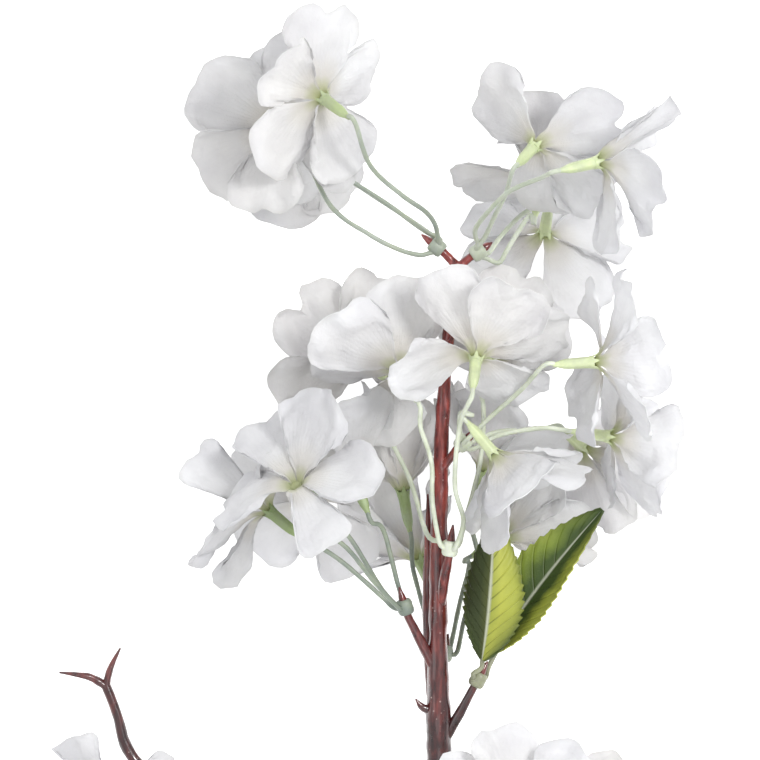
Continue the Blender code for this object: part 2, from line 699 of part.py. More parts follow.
def strip(lower, upper):
    """Triangles between two lines of points whose counts are the same or differ by a factor of two."""
    triangles = []
    if len(lower) == len(upper):
        for n in range(len(lower) - 1):
            if n < (len(lower) - 1) / 2:
                triangles += [(lower[n], upper[n], upper[n + 1]), (lower[n], upper[n + 1], lower[n + 1])]
            else:
                triangles += [(lower[n], upper[n], lower[n + 1]), (lower[n + 1], upper[n], upper[n + 1])]
        return triangles
    for n in range(len(lower) - 1):
        left, middle, right = upper[2 * n:2 * n + 3]
        triangles += [(lower[n], left, middle), (lower[n], middle, lower[n + 1])]
        triangles.append((lower[n + 1], middle, right))
    return triangles


def leaf_point(leaf, u, v, toothed=True):
    """Point of a leaf's middle surface and its normal: u from base to tip, v from side to side."""
    base, middle, tip = (Vector(point) for point in (leaf.base, leaf.middle, leaf.tip))
    control = middle * 2.0 - (base + tip) / 2
    centre = base * (1 - u) ** 2 + control * 2 * u * (1 - u) + tip * u * u
    along = ((control - base) * (1 - u) + (tip - control) * u).normalized()
    up = direction(leaf.up)
    up = (up - along * up.dot(along)).normalized()
    side = along.cross(up)
    half = leaf.width * math.sin(math.pi * min(1.0, u ** 0.85 * 0.985 + 0.01)) ** 0.8 + 0.3
    if toothed:
        half *= 1.0 - LEAF_TOOTH_DEPTH * (1.0 if round(u * 2 * LEAF_TEETH) % 2 == 0 else -0.4)
    fold = math.radians(leaf.fold_right if v > 0 else leaf.fold_left)
    bend = fold * (1.0 + 0.5 * abs(v))
    out = side * math.copysign(math.cos(bend), v) + up * math.sin(bend)
    ripple = 0.8 * math.sin(9.0 * u + (2.0 if v > 0 else 0.0)) * v * v
    return centre + out * (half * abs(v)) + up * ripple, up


def leaf_blade(name, leaf, material):
    """Saw-toothed blade, in line with its midrib."""
    rows = 2 * LEAF_TEETH
    columns = [-1.0, -0.5, 0.0, 0.5, 1.0]
    points = []
    faces = []
    grid = []
    for row in range(rows + 1):
        line = []
        for v in columns:
            u = row / rows
            point, up = leaf_point(leaf, u, v, toothed=abs(v) == 1.0)
            points += [point + up * (LEAF_THICKNESS / 2), point - up * (LEAF_THICKNESS / 2)]
            line.append((len(points) - 2, len(points) - 1))
        grid.append(line)
    for lower, upper in zip(grid, grid[1:]):
        for triangle in strip(lower, upper):
            faces.append(tuple(pair[0] for pair in reversed(triangle)))
            faces.append(tuple(pair[1] for pair in triangle))
    edge = [line[0] for line in grid] + grid[-1][1:-1] + [line[-1] for line in reversed(grid)]
    edge += list(reversed(grid[0][1:-1]))
    for one, two in zip(edge, edge[1:] + edge[:1]):
        faces += [(one[0], two[0], two[1]), (one[0], two[1], one[1])]
    return make_object(name, points, faces, material)


def leaf_carrier(name, cluster, leaves, material):
    """Collar with the leaf stalks, which run on as ribs under the blades."""
    whole = collar_parts(name, cluster, material)
    stalks = []
    drop = LEAF_THICKNESS / 2 + GAP + RIB_RADIUS
    for leaf in leaves:
        collar = Vector(cluster.collar)
        via = [Vector((*point, (collar.z + leaf.base[2]) / 2 - 0.6)) for point in leaf.route]
        path = [(*point, RIB_RADIUS) for point in [*stalk_start(cluster, via[0]), *via]]
        for u in (0.0, 0.25, 0.5, 0.75, 0.92):
            point, up = leaf_point(leaf, u, 0.0, toothed=False)
            radius = RIB_RADIUS * (1.0 - 0.6 * u)
            path.append((*(point - up * (drop + 0.25 * u)), radius))
        points, faces = sweep(path_rings(smooth_path(path, 12)), 6)
        stalks.append(make_object("leaf_stalk", points, faces, material))
    boolean(whole, stalks, "UNION")
    return whole


def main_stem(material):
    """Main stem with every twig that grows from it, its socket, and the wire's bore from the cut end."""
    points, faces = sweep(path_rings(smooth_path(STEM_PATH, 20)), 8)
    whole = make_object("main_stem", points, faces, material)
    twigs = [twig("twig", twig_path(CLUSTERS[name]), material) for name in CLUSTERS if name != "side"]
    twigs.append(twig("twig", twig_path(LEAF_COLLAR), material))
    twigs += [twig("spur", path, material) for path in SPURS.values()]
    way = direction(SIDE_WAY)
    root = Vector(SIDE_ROOT)
    socket = sweep([(root, way, SOCKET_RADIUS * 0.9), (root + way * SOCKET_LENGTH, way, SOCKET_RADIUS)], 8)
    twigs.append(make_object("socket", *socket, material))
    boolean(whole, twigs, "UNION")
    hole_start = root + way * (SOCKET_LENGTH - SOCKET_DEPTH)
    hole_radius = (PIN_RADIUS + GAP) / math.cos(math.pi / 8)
    hole = sweep([(hole_start, way, hole_radius), (root + way * (SOCKET_LENGTH + 2.0), way, hole_radius)], 8)
    cutters = [make_object("hole", *hole, material), wire("bore", WIRE_BORE, 1.0, material)]
    boolean(whole, cutters, "DIFFERENCE")
    for vertex in whole.data.vertices:
        vertex.co.z = max(vertex.co.z, 0.0)
    return whole


def wire(name, radius, extra, material):
    """Rod along the main stem's middle, from its cut end to WIRE_END, with some extra at both ends."""
    path = [point for point in smooth_path(STEM_PATH, 60) if point[1] < WIRE_END]
    path = smooth_path([(*point[:3], radius) for point in path], 12)
    rings = path_rings(path)
    rings[0] = (rings[0][0] - rings[0][1] * extra, rings[0][1], radius)
    rings[-1] = (rings[-1][0] + rings[-1][1] * extra, rings[-1][1], radius)
    points, faces = sweep(rings, 6)
    return make_object(name, points, faces, material)


def side_branch(material):
    """Second branch, which plugs into the main stem's socket by its pin."""
    way = direction(SIDE_WAY)
    root = Vector(SIDE_ROOT)
    shoulder = SOCKET_LENGTH + GAP
    start = SOCKET_LENGTH - SOCKET_DEPTH + GAP
    rings = [(root + way * start, way, PIN_RADIUS), (root + way * (shoulder - 0.01), way, PIN_RADIUS)]
    branch_start = root + way * shoulder
    path = [(*branch_start, BRANCH_RADIUS), (*(branch_start + way * 6.0), BRANCH_RADIUS), *SIDE_PATH]
    rings += path_rings(smooth_path(path, 12))
    points, faces = sweep(rings, 8)
    whole = make_object("side_branch", points, faces, material)
    twigs = [twig("spur", path, material) for path in SIDE_SPURS]
    twigs.append(twig("twig", twig_path(CLUSTERS["side"]), material))
    boolean(whole, twigs, "UNION")
    return whole


def build():
    for thing in list(bpy.data.objects):
        bpy.data.objects.remove(thing)
    cloth = make_material("petal_cloth", (0.86, 0.86, 0.84), 0.8)
    bark = make_material("twig_plastic", (0.22, 0.035, 0.025), 0.35)
    green = make_material("calyx_plastic", (0.55, 0.66, 0.36), 0.45)
    leaf_green = make_material("leaf_cloth", (0.12, 0.26, 0.03), 0.6)
    rib_green = make_material("leaf_stalk_plastic", (0.62, 0.68, 0.45), 0.45)
    steel = make_material("wire_steel", (0.5, 0.5, 0.5), 0.4, 1.0)
    placed = [main_stem(bark), side_branch(bark)]
    wire("core_wire", WIRE_RADIUS, 0.0, steel)
    placed += [whorl(f"whorl_{key}", cluster, green) for key, cluster in CLUSTERS.items()]
    placed.append(leaf_carrier("leaf_carrier", LEAF_COLLAR, LEAVES, rib_green))
    placed += [leaf_blade(f"leaf_{number}", leaf, leaf_green) for number, leaf in enumerate(LEAVES, 1)]
    bpy.context.view_layer.update()
    taken = [world_tree(thing) for thing in placed]
    blooms = [
        (f"{key}_{number}", bloom)
        for key, cluster in CLUSTERS.items() for number, bloom in enumerate(cluster.blooms, 1)
    ]
    # The front blooms keep their form, and each one behind them is bent clear of those before it
    for name, bloom in sorted(blooms, key=lambda pair: -pair[1].mouth[2]):
        thing = corolla(f"corolla_{name}", bloom, name, cloth, taken)
        bpy.context.view_layer.update()
        taken.append(world_tree(thing))
    for thing in bpy.data.objects:
        thing.location -= Vector((CENTRE_X, CENTRE_Y, 0.0)) * MM


build()
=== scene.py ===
"""Looks of the artificial apple blossom branch: cloth petals, moulded stalks and twigs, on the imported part.

The tables are the part's own, in millimetres and degrees, in the part's drawing frame. SHIFT takes a drawing
point to the row frame. Every fine piece stands for the node that it replaces.
"""
import json
import random
from collections import namedtuple
from functools import partialmethod
from math import asin, atan2, copysign, cos, degrees, dist, exp, hypot, pi, radians, sin, tan, tau

import bpy
from mathutils import Matrix, Vector, noise
from mathutils.bvhtree import BVHTree

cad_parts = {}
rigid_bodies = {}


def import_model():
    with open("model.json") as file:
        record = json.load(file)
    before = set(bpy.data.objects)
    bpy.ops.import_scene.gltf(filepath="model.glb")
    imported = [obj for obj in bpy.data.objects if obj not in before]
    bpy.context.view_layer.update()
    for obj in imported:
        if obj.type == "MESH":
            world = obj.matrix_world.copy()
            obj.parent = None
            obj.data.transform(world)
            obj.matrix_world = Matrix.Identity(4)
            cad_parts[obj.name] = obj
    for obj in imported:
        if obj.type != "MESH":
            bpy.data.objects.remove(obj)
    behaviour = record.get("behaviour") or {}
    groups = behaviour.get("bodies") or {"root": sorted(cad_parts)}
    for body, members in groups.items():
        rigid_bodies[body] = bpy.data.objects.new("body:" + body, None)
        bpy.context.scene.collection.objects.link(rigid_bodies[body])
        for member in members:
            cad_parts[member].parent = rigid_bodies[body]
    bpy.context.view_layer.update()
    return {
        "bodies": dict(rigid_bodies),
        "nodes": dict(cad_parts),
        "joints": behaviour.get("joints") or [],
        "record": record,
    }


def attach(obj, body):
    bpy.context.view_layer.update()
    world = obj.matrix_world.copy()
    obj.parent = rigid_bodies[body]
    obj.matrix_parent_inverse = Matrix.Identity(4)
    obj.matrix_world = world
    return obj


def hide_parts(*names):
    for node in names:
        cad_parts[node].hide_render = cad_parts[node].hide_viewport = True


MM = 0.001
GAP = 0.3

# The middle of the whole branch in plan, which becomes the origin
CENTRE_X = -13.8
CENTRE_Y = -60.6
SHIFT = Vector((CENTRE_X, CENTRE_Y, 0.0))

# Petals
PETALS = 5
PETAL_LENGTH = 27.5
PETAL_THICKNESS = 0.7
PETAL_FAN = 50.0
PETAL_SHOULDER = 0.2
EDGE_GAP = 0.5
MIN_SPACING = 52.0
BENDS = [8.0, -8.0, 16.0, -16.0, 24.0, -24.0, 34.0, -34.0, 46.0, -46.0, 60.0]
THROAT_SLOPE = 62.0
THROAT_FADE = 0.11
RING_RADIUS = 1.75
NECK_RADIUS = 0.8
NECK_LENGTH = 4.2
# Height and radius along the corolla's neck, from its foot up and round to the hollow of its throat
NECK_PROFILE = [
    (-NECK_LENGTH, 0.7), (-0.6, NECK_RADIUS), (-0.3, 1.3), (0.15, RING_RADIUS), (0.35, RING_RADIUS * 0.98),
    (0.1, 1.1), (-0.5, 0.3),
]
MIN_TILT = -35.0
MAX_TILT = 74.0
MAX_HALF_SECTOR = 47.0
NARROW_HALF = 23.0
FRONT_SHARE = 1.6
FAR_SIDE = 270.0
FAR_SIDE_FIRST = 50.0
FULL_TURN = 6.28
DEEPEST_NOTCH = 0.13
SPREAD_ROUNDS = 80
PROFILE_STEPS = 40

# Calyx tubes, their stalks and collars
CALYX_LENGTH = 11.0
CALYX_BORE = 1.15
CALYX_DEPTH = 5.4
CALYX_DROP = 0.7
# Share of the calyx's length and the radius there, from inside the stalk to the mouth's rim
CALYX_OUTSIDE = [
    (-0.12, 0.7), (0.0, 0.86), (0.08, 1.15), (0.18, 1.42), (0.32, 1.6), (0.55, 1.68), (0.8, 1.72),
    (0.95, 1.8), (1.0, 1.86),
]
SEPAL_ROWS = 5
SEPAL_COLUMNS = 4
SEPAL_THICKNESS = 0.32
SEPAL_HALF_WIDTH = 0.95
SEPAL_LENGTH = 2.7
SEPAL_LAP = 1.1
SEPAL_FOOT = 1.72
SEPAL_OPENING = 0.9
STALK_RADIUS = 0.72
STALK_APPROACH = 4.0
STALK_EXIT = 1.2
STALK_LEAN = 1.3
COLLAR_LENGTH = 4.6
COLLAR_RADIUS = 2.5
COLLAR_WALL_MIDDLE = 2.05
COLLAR_WAIST = 0.96
# Distance from the collar's end and the radius there, from its side round to its end
COLLAR_EDGE = [(1.5, COLLAR_RADIUS), (0.8, 2.4), (0.25, 2.15), (0.0, 1.85), (0.0, 1.4)]

# Twigs
TWIG_RADIUS = 1.2
TIP_RADIUS = 0.3
ROOT_SWELLING = 0.35
COLLAR_MARGIN = 0.4
WANDER_PACE = 0.23
WIRE_BORE = 1.4
SOCKET_LENGTH = 11.0
SOCKET_DEPTH = 5.6
SOCKET_PROFILE = [
    (0.0, 2.6), (2.0, 2.9), (SOCKET_LENGTH - 1.2, 3.2), (SOCKET_LENGTH - 0.4, 3.45), (SOCKET_LENGTH, 3.3),
    (SOCKET_LENGTH, 2.1), (SOCKET_LENGTH - SOCKET_DEPTH, 2.0),
]
PIN_RADIUS = 1.7
BRANCH_RADIUS = 2.5

# Leaves
LEAF_THICKNESS = 0.7
RIB_RADIUS = 0.75

# x, y, z of the main stem's middle line and its radius there, from the cut end to the top fork
STEM_PATH = [
    (17, -232, 3.3, 3.6), (16, -200, 11, 3.6), (16.6, -165, 26, 3.5), (18, -130, 40, 3.4),
    (17.6, -104, 47, 3.5), (17.4, -78, 50, 2.9), (17.6, -54, 51, 2.6), (18, -36, 51.5, 2.4),
    (18.6, -15, 52, 2.1), (20.4, 12, 53, 1.8), (23.4, 33.6, 54, 1.7),
]

# Points and radius of twigs that carry no whorl, each with its root sunk in the main stem: the dark strand
# beside it, the upper spur and the knot's spur
SPURS = [
    [(17.2, -104, 46.5, 1.9), (15.4, -92, 45.4, 1.7), (14.4, -72, 45.2, 1.6), (14.6, -54, 45.6, 1.5),
     (14.4, -34.5, 46, TIP_RADIUS)],
    [(20.3, 8, 53.2, 1.3), (21, 11, 56.2, 1), (21.8, 13.4, 58.8, TIP_RADIUS)],
    [(17, -100, 47, 1.6), (13, -98.5, 48.5, 1.2), (10.8, -96, 49.5, TIP_RADIUS)],
]

# The side branch's way from its pin, and its two spurs
SIDE_ROOT = (16.4, -188, 16)
SIDE_WAY = (152, 14)
SIDE_PATH = [
    (-12, -168, 24.5, 2.4), (-34, -150, 28, 2.3), (-56, -133, 31, 2.1), (-74.7, -114, 33, 1.9),
    (-79.4, -101, 34, 1.6), (-83, -91.6, 34.5, 1.4),
]
SIDE_SPURS = [
    [(-82.6, -92.6, 34.5, 1.3), (-88, -89.6, 35.5, 1.1), (-96.6, -88.3, 37, TIP_RADIUS)],
    [(-82.8, -92.6, 34.5, 1.3), (-81.4, -87, 36, 1), (-78.4, -81, 38.5, TIP_RADIUS)],
]

Bloom = namedtuple("Bloom", "mouth facing route bow tilt petals", defaults=[()])
Cluster = namedtuple("Cluster", "collar along tip root blooms")
Leaf = namedtuple("Leaf", "base middle tip up width fold_left fold_right route")

# A way is (turn from +X towards +Y, lift from the table). A twig runs from its root's points through its
# collar to its tip beyond it. A bloom's route is the plan points that its stalk passes, its bow is how far
# the stalk rises between them, and its tilt is how far its free petals close. A listed petal has its way,
# its notch and the widest half of its sector.
CLUSTERS = {
    "top_left": Cluster((17.1, 39.9, 54), (141, 0), 5.8, [(23.4, 33.6, 54)], [
        Bloom((-16.5, 83.4, 88), (142, -40), [(16.5, 46.5), (13.5, 50.4), (6, 55.5), (-3, 63.9)], 3, 20, [
            (90, 10, 0.22), (240, 0, 0.05), (150, 62, 0.05, 24), (296, -18, 0.05, 30), (95, -60, 0.05, 24)]),
        Bloom((-29.4, 75, 66), (150, 66), [(12, 37.5), (6, 39), (-3, 43.5), (-15, 52.5)], 2, 10, [
            (152, 6, 0.1), (203, 2, 0.05, 28), (254, 30, 0.08, 28), (-28, -15, 0.1, 21)]),
        Bloom((-27, 74, 46), (140, -60), [(13, 45), (2, 53), (-12, 62)], -4, 64),
        Bloom((-24, 69, 15.5), (170, -82), [(15, 44), (2, 53)], -6, 60),
    ]),
    "top_right": Cluster((29.4, 38.4, 54), (34, 0), 5, [(23.4, 33.6, 54)], [
        Bloom((64.2, 64.5, 92), (13, -22), [(28.5, 45), (33, 51), (39, 56.4), (48, 60)], 4, 70, [
            (-28, 26, 0.2), (38, 10, 0.03, 12), (268, 0, 0.05, 21), (30, -40, 0.05, 24),
            (330, -50, 0.05, 24)]),
        Bloom((45.9, 69.6, 70), (48, -50), [(31.5, 43), (34.5, 49.5), (37.5, 55.5)], 3, 50, [
            (132, -36, 0.06), (18, -14, 0.27)]),
        Bloom((48.3, 58.8, 41), (80, -35), [(33, 36), (36, 35.4), (39, 40.5), (45, 49.5)], -2, 50, [
            (183, -35, 0.1, 24), (15, -15, 0.1, 26)]),
        Bloom((50, 45, 20), (262, -50), [(33, 38.5), (37, 44), (43, 50)], -3, 40, [
            (212, -8), (306, -8)]),
    ]),
    "centre": Cluster((21, -50.4, 60), (83, 10), 7, [(18.3, -68, 51), (19.6, -58, 57)], [
        Bloom((28.5, 6, 84), (83, -42), [(24.9, -42), (22.5, -33), (22.5, -24), (24, -12)], 3, 20, [
            (203, 34, 0.05), (118, -8, 0.04), (68, -6, 0.08), (22, -26, 0.1), (-47, -28, 0.1)]),
        Bloom((6.3, 2.1, 66), (119, -38), [(17, -45), (15.6, -36), (15.3, -24.3), (12.1, -14)], 4, 40, [
            (86, -4, 0.05), (134, -20, 0.1), (183, -18, 0.06), (226, -30, 0.1)]),
        Bloom((-4, 5.4, 38), (140, -45), [(14, -46), (9, -30), (1, -12)], -2, 55, [
            (142, -10, 0.25), (88, -20, 0.1)]),
        Bloom((33, 6, 50), (60, -55), [(25, -44), (30, -25), (31, -8)], -4, 58),
    ]),
    "left": Cluster((7.5, -68.1, 55), (107, 10), 6.2, [(17, -88, 49.5), (12, -78, 52)], [
        Bloom((-33, -39.6, 52), (140, -15), [(0, -64.5), (-12, -54), (-21, -48.6)], 2, 25, [
            (154, 22, 0.1), (100, 40, 0.05, 24), (247, -15, 0.05, 21), (204, 45, 0.1, 24)]),
        Bloom((-24.6, -32.1, 82), (115, 35), [(-2, -60), (-10, -50)], 6, 74, [
            (86, -5, 0.03), (130, -30, 0.1, 23), (-10, 35, 0.05), (302, -10, 0.05, 15),
            (190, -50, 0.05, 24)]),
        Bloom((-8, -29, 54), (112, -8), [(5, -60), (1, -45)], -3, 60),
        Bloom((-20, -36, 39), (148, -70), [(0, -62), (-8, -49)], -4, 69, [(-72, -70, 0.05, 21)]),
    ]),
    "right": Cluster((24.9, -18.9, 56), (45, 12), 6, [(18.4, -27, 52)], [
        Bloom((63.6, 5.4, 82), (4, -5), [(32, -12), (42, -3)], 0, 20, [
            (55, 12, 0.1), (105, -40, 0.1), (7, 28, 0.2), (-52, 8, 0.1), (240, -38, 0.22)]),
        Bloom((68.4, -16.9, 56), (-8, -18), [(36, -16.5), (48, -14.4)], 4, 10, [
            (-4, 22, 0.18), (75, 40, 0.05), (-57, 0, 0.1)]),
        Bloom((61, -20, 27), (-41, -50), [(36, -15.5), (48, -15)], -1, 60, [(-64, -35)]),
        Bloom((33.6, -21.6, 72), (-50, -5), [(24, -10), (27.5, -10.5)], 3, 45, [
            (-15, 8, 0.08), (-50, 30, 0.1), (-88, 8, 0.08)]),
    ]),
    "low_centre": Cluster((19.5, -82.5, 40), (80, -12), 6, [(17.6, -95, 47.5), (18.8, -89, 42)], [
        Bloom((7, -34, 30), (100, -8), [(14, -72), (10, -57)], 0, 68),
        Bloom((12, -55, 14), (115, -20), [(15, -72)], -3, 66),
        Bloom((31, -28, 32), (75, -5), [(25.5, -72), (30, -57)], 0, 70),
        Bloom((37, -48, 25), (30, -25), [(24, -68), (27, -56)], -3, 62),
    ]),
    "bottom": Cluster((36, -148, 44), (30, 15), 6, [(17.4, -160, 28.5), (27, -153.5, 38)], [
        Bloom((41.5, -131, 66), (70, 50), [(39.5, -141)], 3, 20, [(98, 15), (42, 15), (152, -2)]),
        Bloom((60, -162, 48), (-10, 10), [(48, -152)], 2, 35),
        Bloom((44, -176, 56), (270, 10), [(40, -160)], 2, 35),
        Bloom((60, -140, 34), (30, -45), [(42, -142)], 1, 50),
    ]),
    "side": Cluster((-62, -146, 36), (235, 15), 6, [(-52, -136, 30.4), (-57, -140.5, 34)], [
        Bloom((-81.6, -129.5, 24), (160, -60), [(-68, -140)], -1, 60, [
            (98, -5, 0.05, 21), (172, -25, 0.05, 24), (14, -35, 0.05, 24)]),
        Bloom((-90, -158, 52), (190, 35), [(-72, -149)], 1, 30),
        Bloom((-58, -172, 50), (280, 10), [(-61, -155)], 1, 40),
        Bloom((-80, -166, 30), (230, -35), [(-69, -153)], -1, 45),
    ]),
}

LEAF_COLLAR = Cluster((29.4, -90, 50), (62, 5), 6, [(18.4, -110, 46), (23.5, -101, 48)], [])
LEAVES = [
    Leaf((30.6, -84, 54), (33, -64, 60), (34, -40.6, 58), (180, 84), 10.5, -24, -12,
         [(30.4, -86.5)]),
    Leaf((34.6, -82, 48), (48, -62, 47), (66.9, -39, 50), (120, 75), 11.5, 6, 30,
         [(32.6, -86.5)]),
]

# The view, floor and lights in metres, and the sensor in millimetres. The view's middle is the drawing's.
VIEW_WIDTH = 0.228
CAMERA_HEIGHT = 3.0
FOCUS_HEIGHT = 0.055
SENSOR_WIDTH = 36.0
FLOOR_HALF = 6.0
FLOOR_HEIGHT = -0.0004
FLOOR_GLOW = 0.62
WORLD_LIGHT = 0.85
AIM_HEIGHT = 0.05
# Name, place from the point that the lamps aim at, size and power of each lamp
LAMPS = [
    ("key", (0.6, 0.3, 1.2), 0.3, 11.5),
    ("fill", (-0.9, 0.1, 1.0), 0.9, 3.0),
    ("front", (0.1, -0.9, 1.0), 0.9, 2.6),
]

# How deep a painted shade darkens the white of each cluster's blooms, from bright (0)
BLOOM_PAINTED_SHADE_STEP = 2.0
BLOOM_PAINTED_SHADE_DEPTH = 0.017
PAINTED_BLOOM_SHADES = {
    "top_left": (3, 7, 8, 8), "top_right": (4, 5, 6, 5), "centre": (1, 2, 4, 2), "left": (7, 4, 5, 4),
    "right": (0, 0, 0, 0), "low_centre": (0, 0, 0, 0), "bottom": (1, 1, 1, 1), "side": (5, 1, 1, 1),
}
# How grey and deep a painted shade each whorl's stalks and calyxes get, from pale (0) to deep. The others
# have 1.
DEEPEST_PAINTED_STALK_SHADE = 3
PAINTED_STALK_SHADES = {"left": 3, "low_centre": 3, "top_left": 2, "top_right": 1, "centre": 0, "right": 0}
# What a texture place gains on a calyx, and for each step of painted stalk shade
CALYX_MARK = 2.0
STALK_PAINTED_SHADE_STEP = 1000.0
# Where the twigs are darkest and brightest along the row frame's Y, in metres
DARK_BELOW = -0.048
BRIGHT_ABOVE = 0.032

# Fine shapes
SHARP_ANGLE = 55.0
BUMP_PACE = 0.35
BUMP_PACE_ROUND = 1.2
TEXTURE_PACE = 0.1
CLOTH_THICKNESS = 0.26
TABLE_GAP = 0.03
PETAL_ROWS = 16
PETAL_COLUMNS = 20
OVERLAP = 1.3
OVERLAP_LIFT = 0.8
WIDEST_HALF = 54.0
CLOTH_SHOULDER = 0.36
NOTCH_HALF_WIDTH = 0.26
LEAF_CLOTH_THICKNESS = 0.4
LEAF_ROWS = 96
LEAF_COLUMNS = 22
LEAF_FINE_TEETH = 17
LEAF_RIBS = 11.0
LEAF_RIB_SLANT = 2.6


def direction(way):
    """Unit vector of a way (turn, lift)."""
    turn, lift = (radians(angle) for angle in way)
    return Vector((cos(lift) * cos(turn), cos(lift) * sin(turn), sin(lift)))


def smoothstep(low, high, value):
    """Runs softly from 0 at the low value to 1 at the high one."""
    part = min(1.0, max(0.0, (value - low) / (high - low)))
    return part * part * (3.0 - 2.0 * part)


def side_places(columns):
    """Even steps from one side (-1) to the other (1)."""
    return [2.0 * column / columns - 1.0 for column in range(columns + 1)]


def smooth_path(points, count):
    """Catmull-Rom curve through points of any dimension, as evenly spaced points."""
    padded = [points[0], *points, points[-1]]
    fine = []
    steps = 12
    for before, start, end, after in zip(padded, padded[1:], padded[2:], padded[3:]):
        for step in range(steps):
            t = step / steps
            fine.append([
                0.5 * (2 * b + (c - a) * t + (2 * a - 5 * b + 4 * c - d) * t * t
                       + (3 * b - a - 3 * c + d) * t ** 3)
                for a, b, c, d in zip(before, start, end, after)
            ])
    fine.append(list(points[-1]))
    lengths = [0.0]
    for one, two in zip(fine, fine[1:]):
        lengths.append(lengths[-1] + dist(one[:3], two[:3]))
    result = []
    index = 0
    for number in range(count):
        target = lengths[-1] * number / (count - 1)
        while index < len(lengths) - 2 and lengths[index + 1] < target:
            index += 1
        span = lengths[index + 1] - lengths[index]
        part = min(1.0, (target - lengths[index]) / span) if span else 0.0
        result.append([a + (b - a) * part for a, b in zip(fine[index], fine[index + 1])])
    return result


def path_rings(path):
    """Turns a path of (x, y, z, radius) into rings of (middle, axis, radius)."""
    rings = []
    for number, point in enumerate(path):
        after = Vector(path[min(number + 1, len(path) - 1)][:3])
        before = Vector(path[max(number - 1, 0)][:3])
        rings.append((Vector(point[:3]), (after - before).normalized(), point[3]))
    return rings


def straight_rings(start, way, profile):
    """Rings along a straight way, from pairs of a distance and a radius."""
    return [(start + way * run, way, radius) for run, radius in profile]


def put(name, data):
    """Makes an object of a mesh, lamp or camera and puts it in the scene."""
    thing = bpy.data.objects.new(name, data)
    bpy.context.scene.collection.objects.link(thing)
    return thing


class Shape:
    """Collects closed surfaces, in millimetres of the drawing frame, for one object."""

    def __init__(self):
        self.points = []
        self.faces = []
        self.uvs = []

    def add(self, points, faces, uvs):
        start = len(self.points)
        self.points += points
        self.uvs += uvs
        self.faces += [tuple(start + index for index in face) for face in faces]

    def make(self, name, material, node):
        """Makes the object, which stands for a node and takes a slot's finish."""
        mesh = bpy.data.meshes.new(name)
        above = [Vector((point.x, point.y, max(point.z, 0.0))) for point in self.points]
        mesh.from_pydata([(point - SHIFT) * MM for point in above], [], self.faces)
        layer = mesh.uv_layers.new(name="UVMap")
        for loop in mesh.loops:
            layer.data[loop.index].uv = self.uvs[loop.vertex_index]
        mesh.materials.append(material)
        mesh.shade_smooth()
        mesh.set_sharp_from_angle(angle=radians(SHARP_ANGLE))
        thing = put(name, mesh)
        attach(thing, "root")
        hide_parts(node)
        return thing


def tube(rings, sides, bumps=0.0, ribs=0, rib_depth=0.0, seed=0.0):
    """Closed tube through rings of (middle, axis, radius), a little uneven. Its ends are closed by fans."""
    points = []
    uvs = []
    faces = []
    across = rings[0][1].orthogonal().normalized()
    run = 0.0
    for number, (middle, axis, radius) in enumerate(rings):
        if number:
            run += (middle - rings[number - 1][0]).length
        across = (across - axis * across.dot(axis)).normalized()
        other = axis.cross(across)
        for side in range(sides):
            angle = tau * side / sides
            out = across * cos(angle) + other * sin(angle)
            spot = middle * BUMP_PACE + out * BUMP_PACE_ROUND + Vector((seed, 0.0, 0.0))
            size = radius * (1.0 + bumps * noise.noise(spot) + rib_depth * cos(ribs * angle))
            points.append(middle + out * size)
            uvs.append((side / sides, run * TEXTURE_PACE))
    for ring in range(len(rings) - 1):
        for side in range(sides):
            following = (side + 1) % sides
            low = ring * sides
            high = low + sides
            faces.append((low + side, low + following, high + following, high + side))
    last = (len(rings) - 1) * sides
    points += [rings[0][0].copy(), rings[-1][0].copy()]
    uvs += [(0.5, 0.0), (0.5, run * TEXTURE_PACE)]
    for side in range(sides):
        following = (side + 1) % sides
        faces.append((len(points) - 2, following, side))
        faces.append((len(points) - 1, last + side, last + following))
    return points, faces, uvs


def tapered_end(path):
    """Adds points that round off a path's last point, so that the tip is a soft point."""
    end = Vector(path[-1][:3])
    before = Vector(path[-2][:3])
    way = (end - before).normalized()
    radius = path[-1][3]
    tip = end + way * radius * 0.7
    return path + [[*tip, radius * 0.55], [*(end + way * radius), radius * 0.12]]


def twig_path(cluster):
    """Points and radii of the twig that carries a whorl, straight where the collar sits."""
    along = direction(cluster.along)
    collar = Vector(cluster.collar)
    half = COLLAR_LENGTH / 2 + COLLAR_MARGIN
    path = [(*point, TWIG_RADIUS + ROOT_SWELLING) for point in cluster.root]
    path.append((*(collar - along * half), TWIG_RADIUS))
    path.append((*(collar + along * half), TWIG_RADIUS))
    path.append((*(collar + along * cluster.tip), TIP_RADIUS))
    return path


def stalk_start(cluster, towards):
    """Two points that leave the collar's wall straight out, on the side that faces a target."""
    along = direction(cluster.along)
    collar = Vector(cluster.collar)
    out = towards - collar
    lean = copysign(STALK_LEAN, out.dot(along))
    out = (out - along * out.dot(along)).normalized()
    exit_point = collar + out * (COLLAR_RADIUS + STALK_EXIT) + along * lean
    return [collar + out * COLLAR_WALL_MIDDLE, exit_point]


def bloom_route(cluster, bloom):
    """Middle line of the stalk, from inside the collar's wall to the calyx's base."""
    facing = direction(bloom.facing)
    base = Vector(bloom.mouth) - facing * CALYX_LENGTH
    collar = Vector(cluster.collar)
    plan = [collar.to_2d(), *[Vector(point) for point in bloom.route], base.to_2d()]
    run = [0.0]
    for one, two in zip(plan, plan[1:]):
        run.append(run[-1] + (two - one).length)
    via = []
    for point, distance in zip(plan[1:-1], run[1:-1]):
        part = distance / run[-1]
        height = collar.z + (base.z - collar.z) * part + bloom.bow * sin(pi * part)
        via.append(Vector((*point, height)))
    start = stalk_start(cluster, via[0])
    return [*start, *via, base - facing * STALK_APPROACH, base]


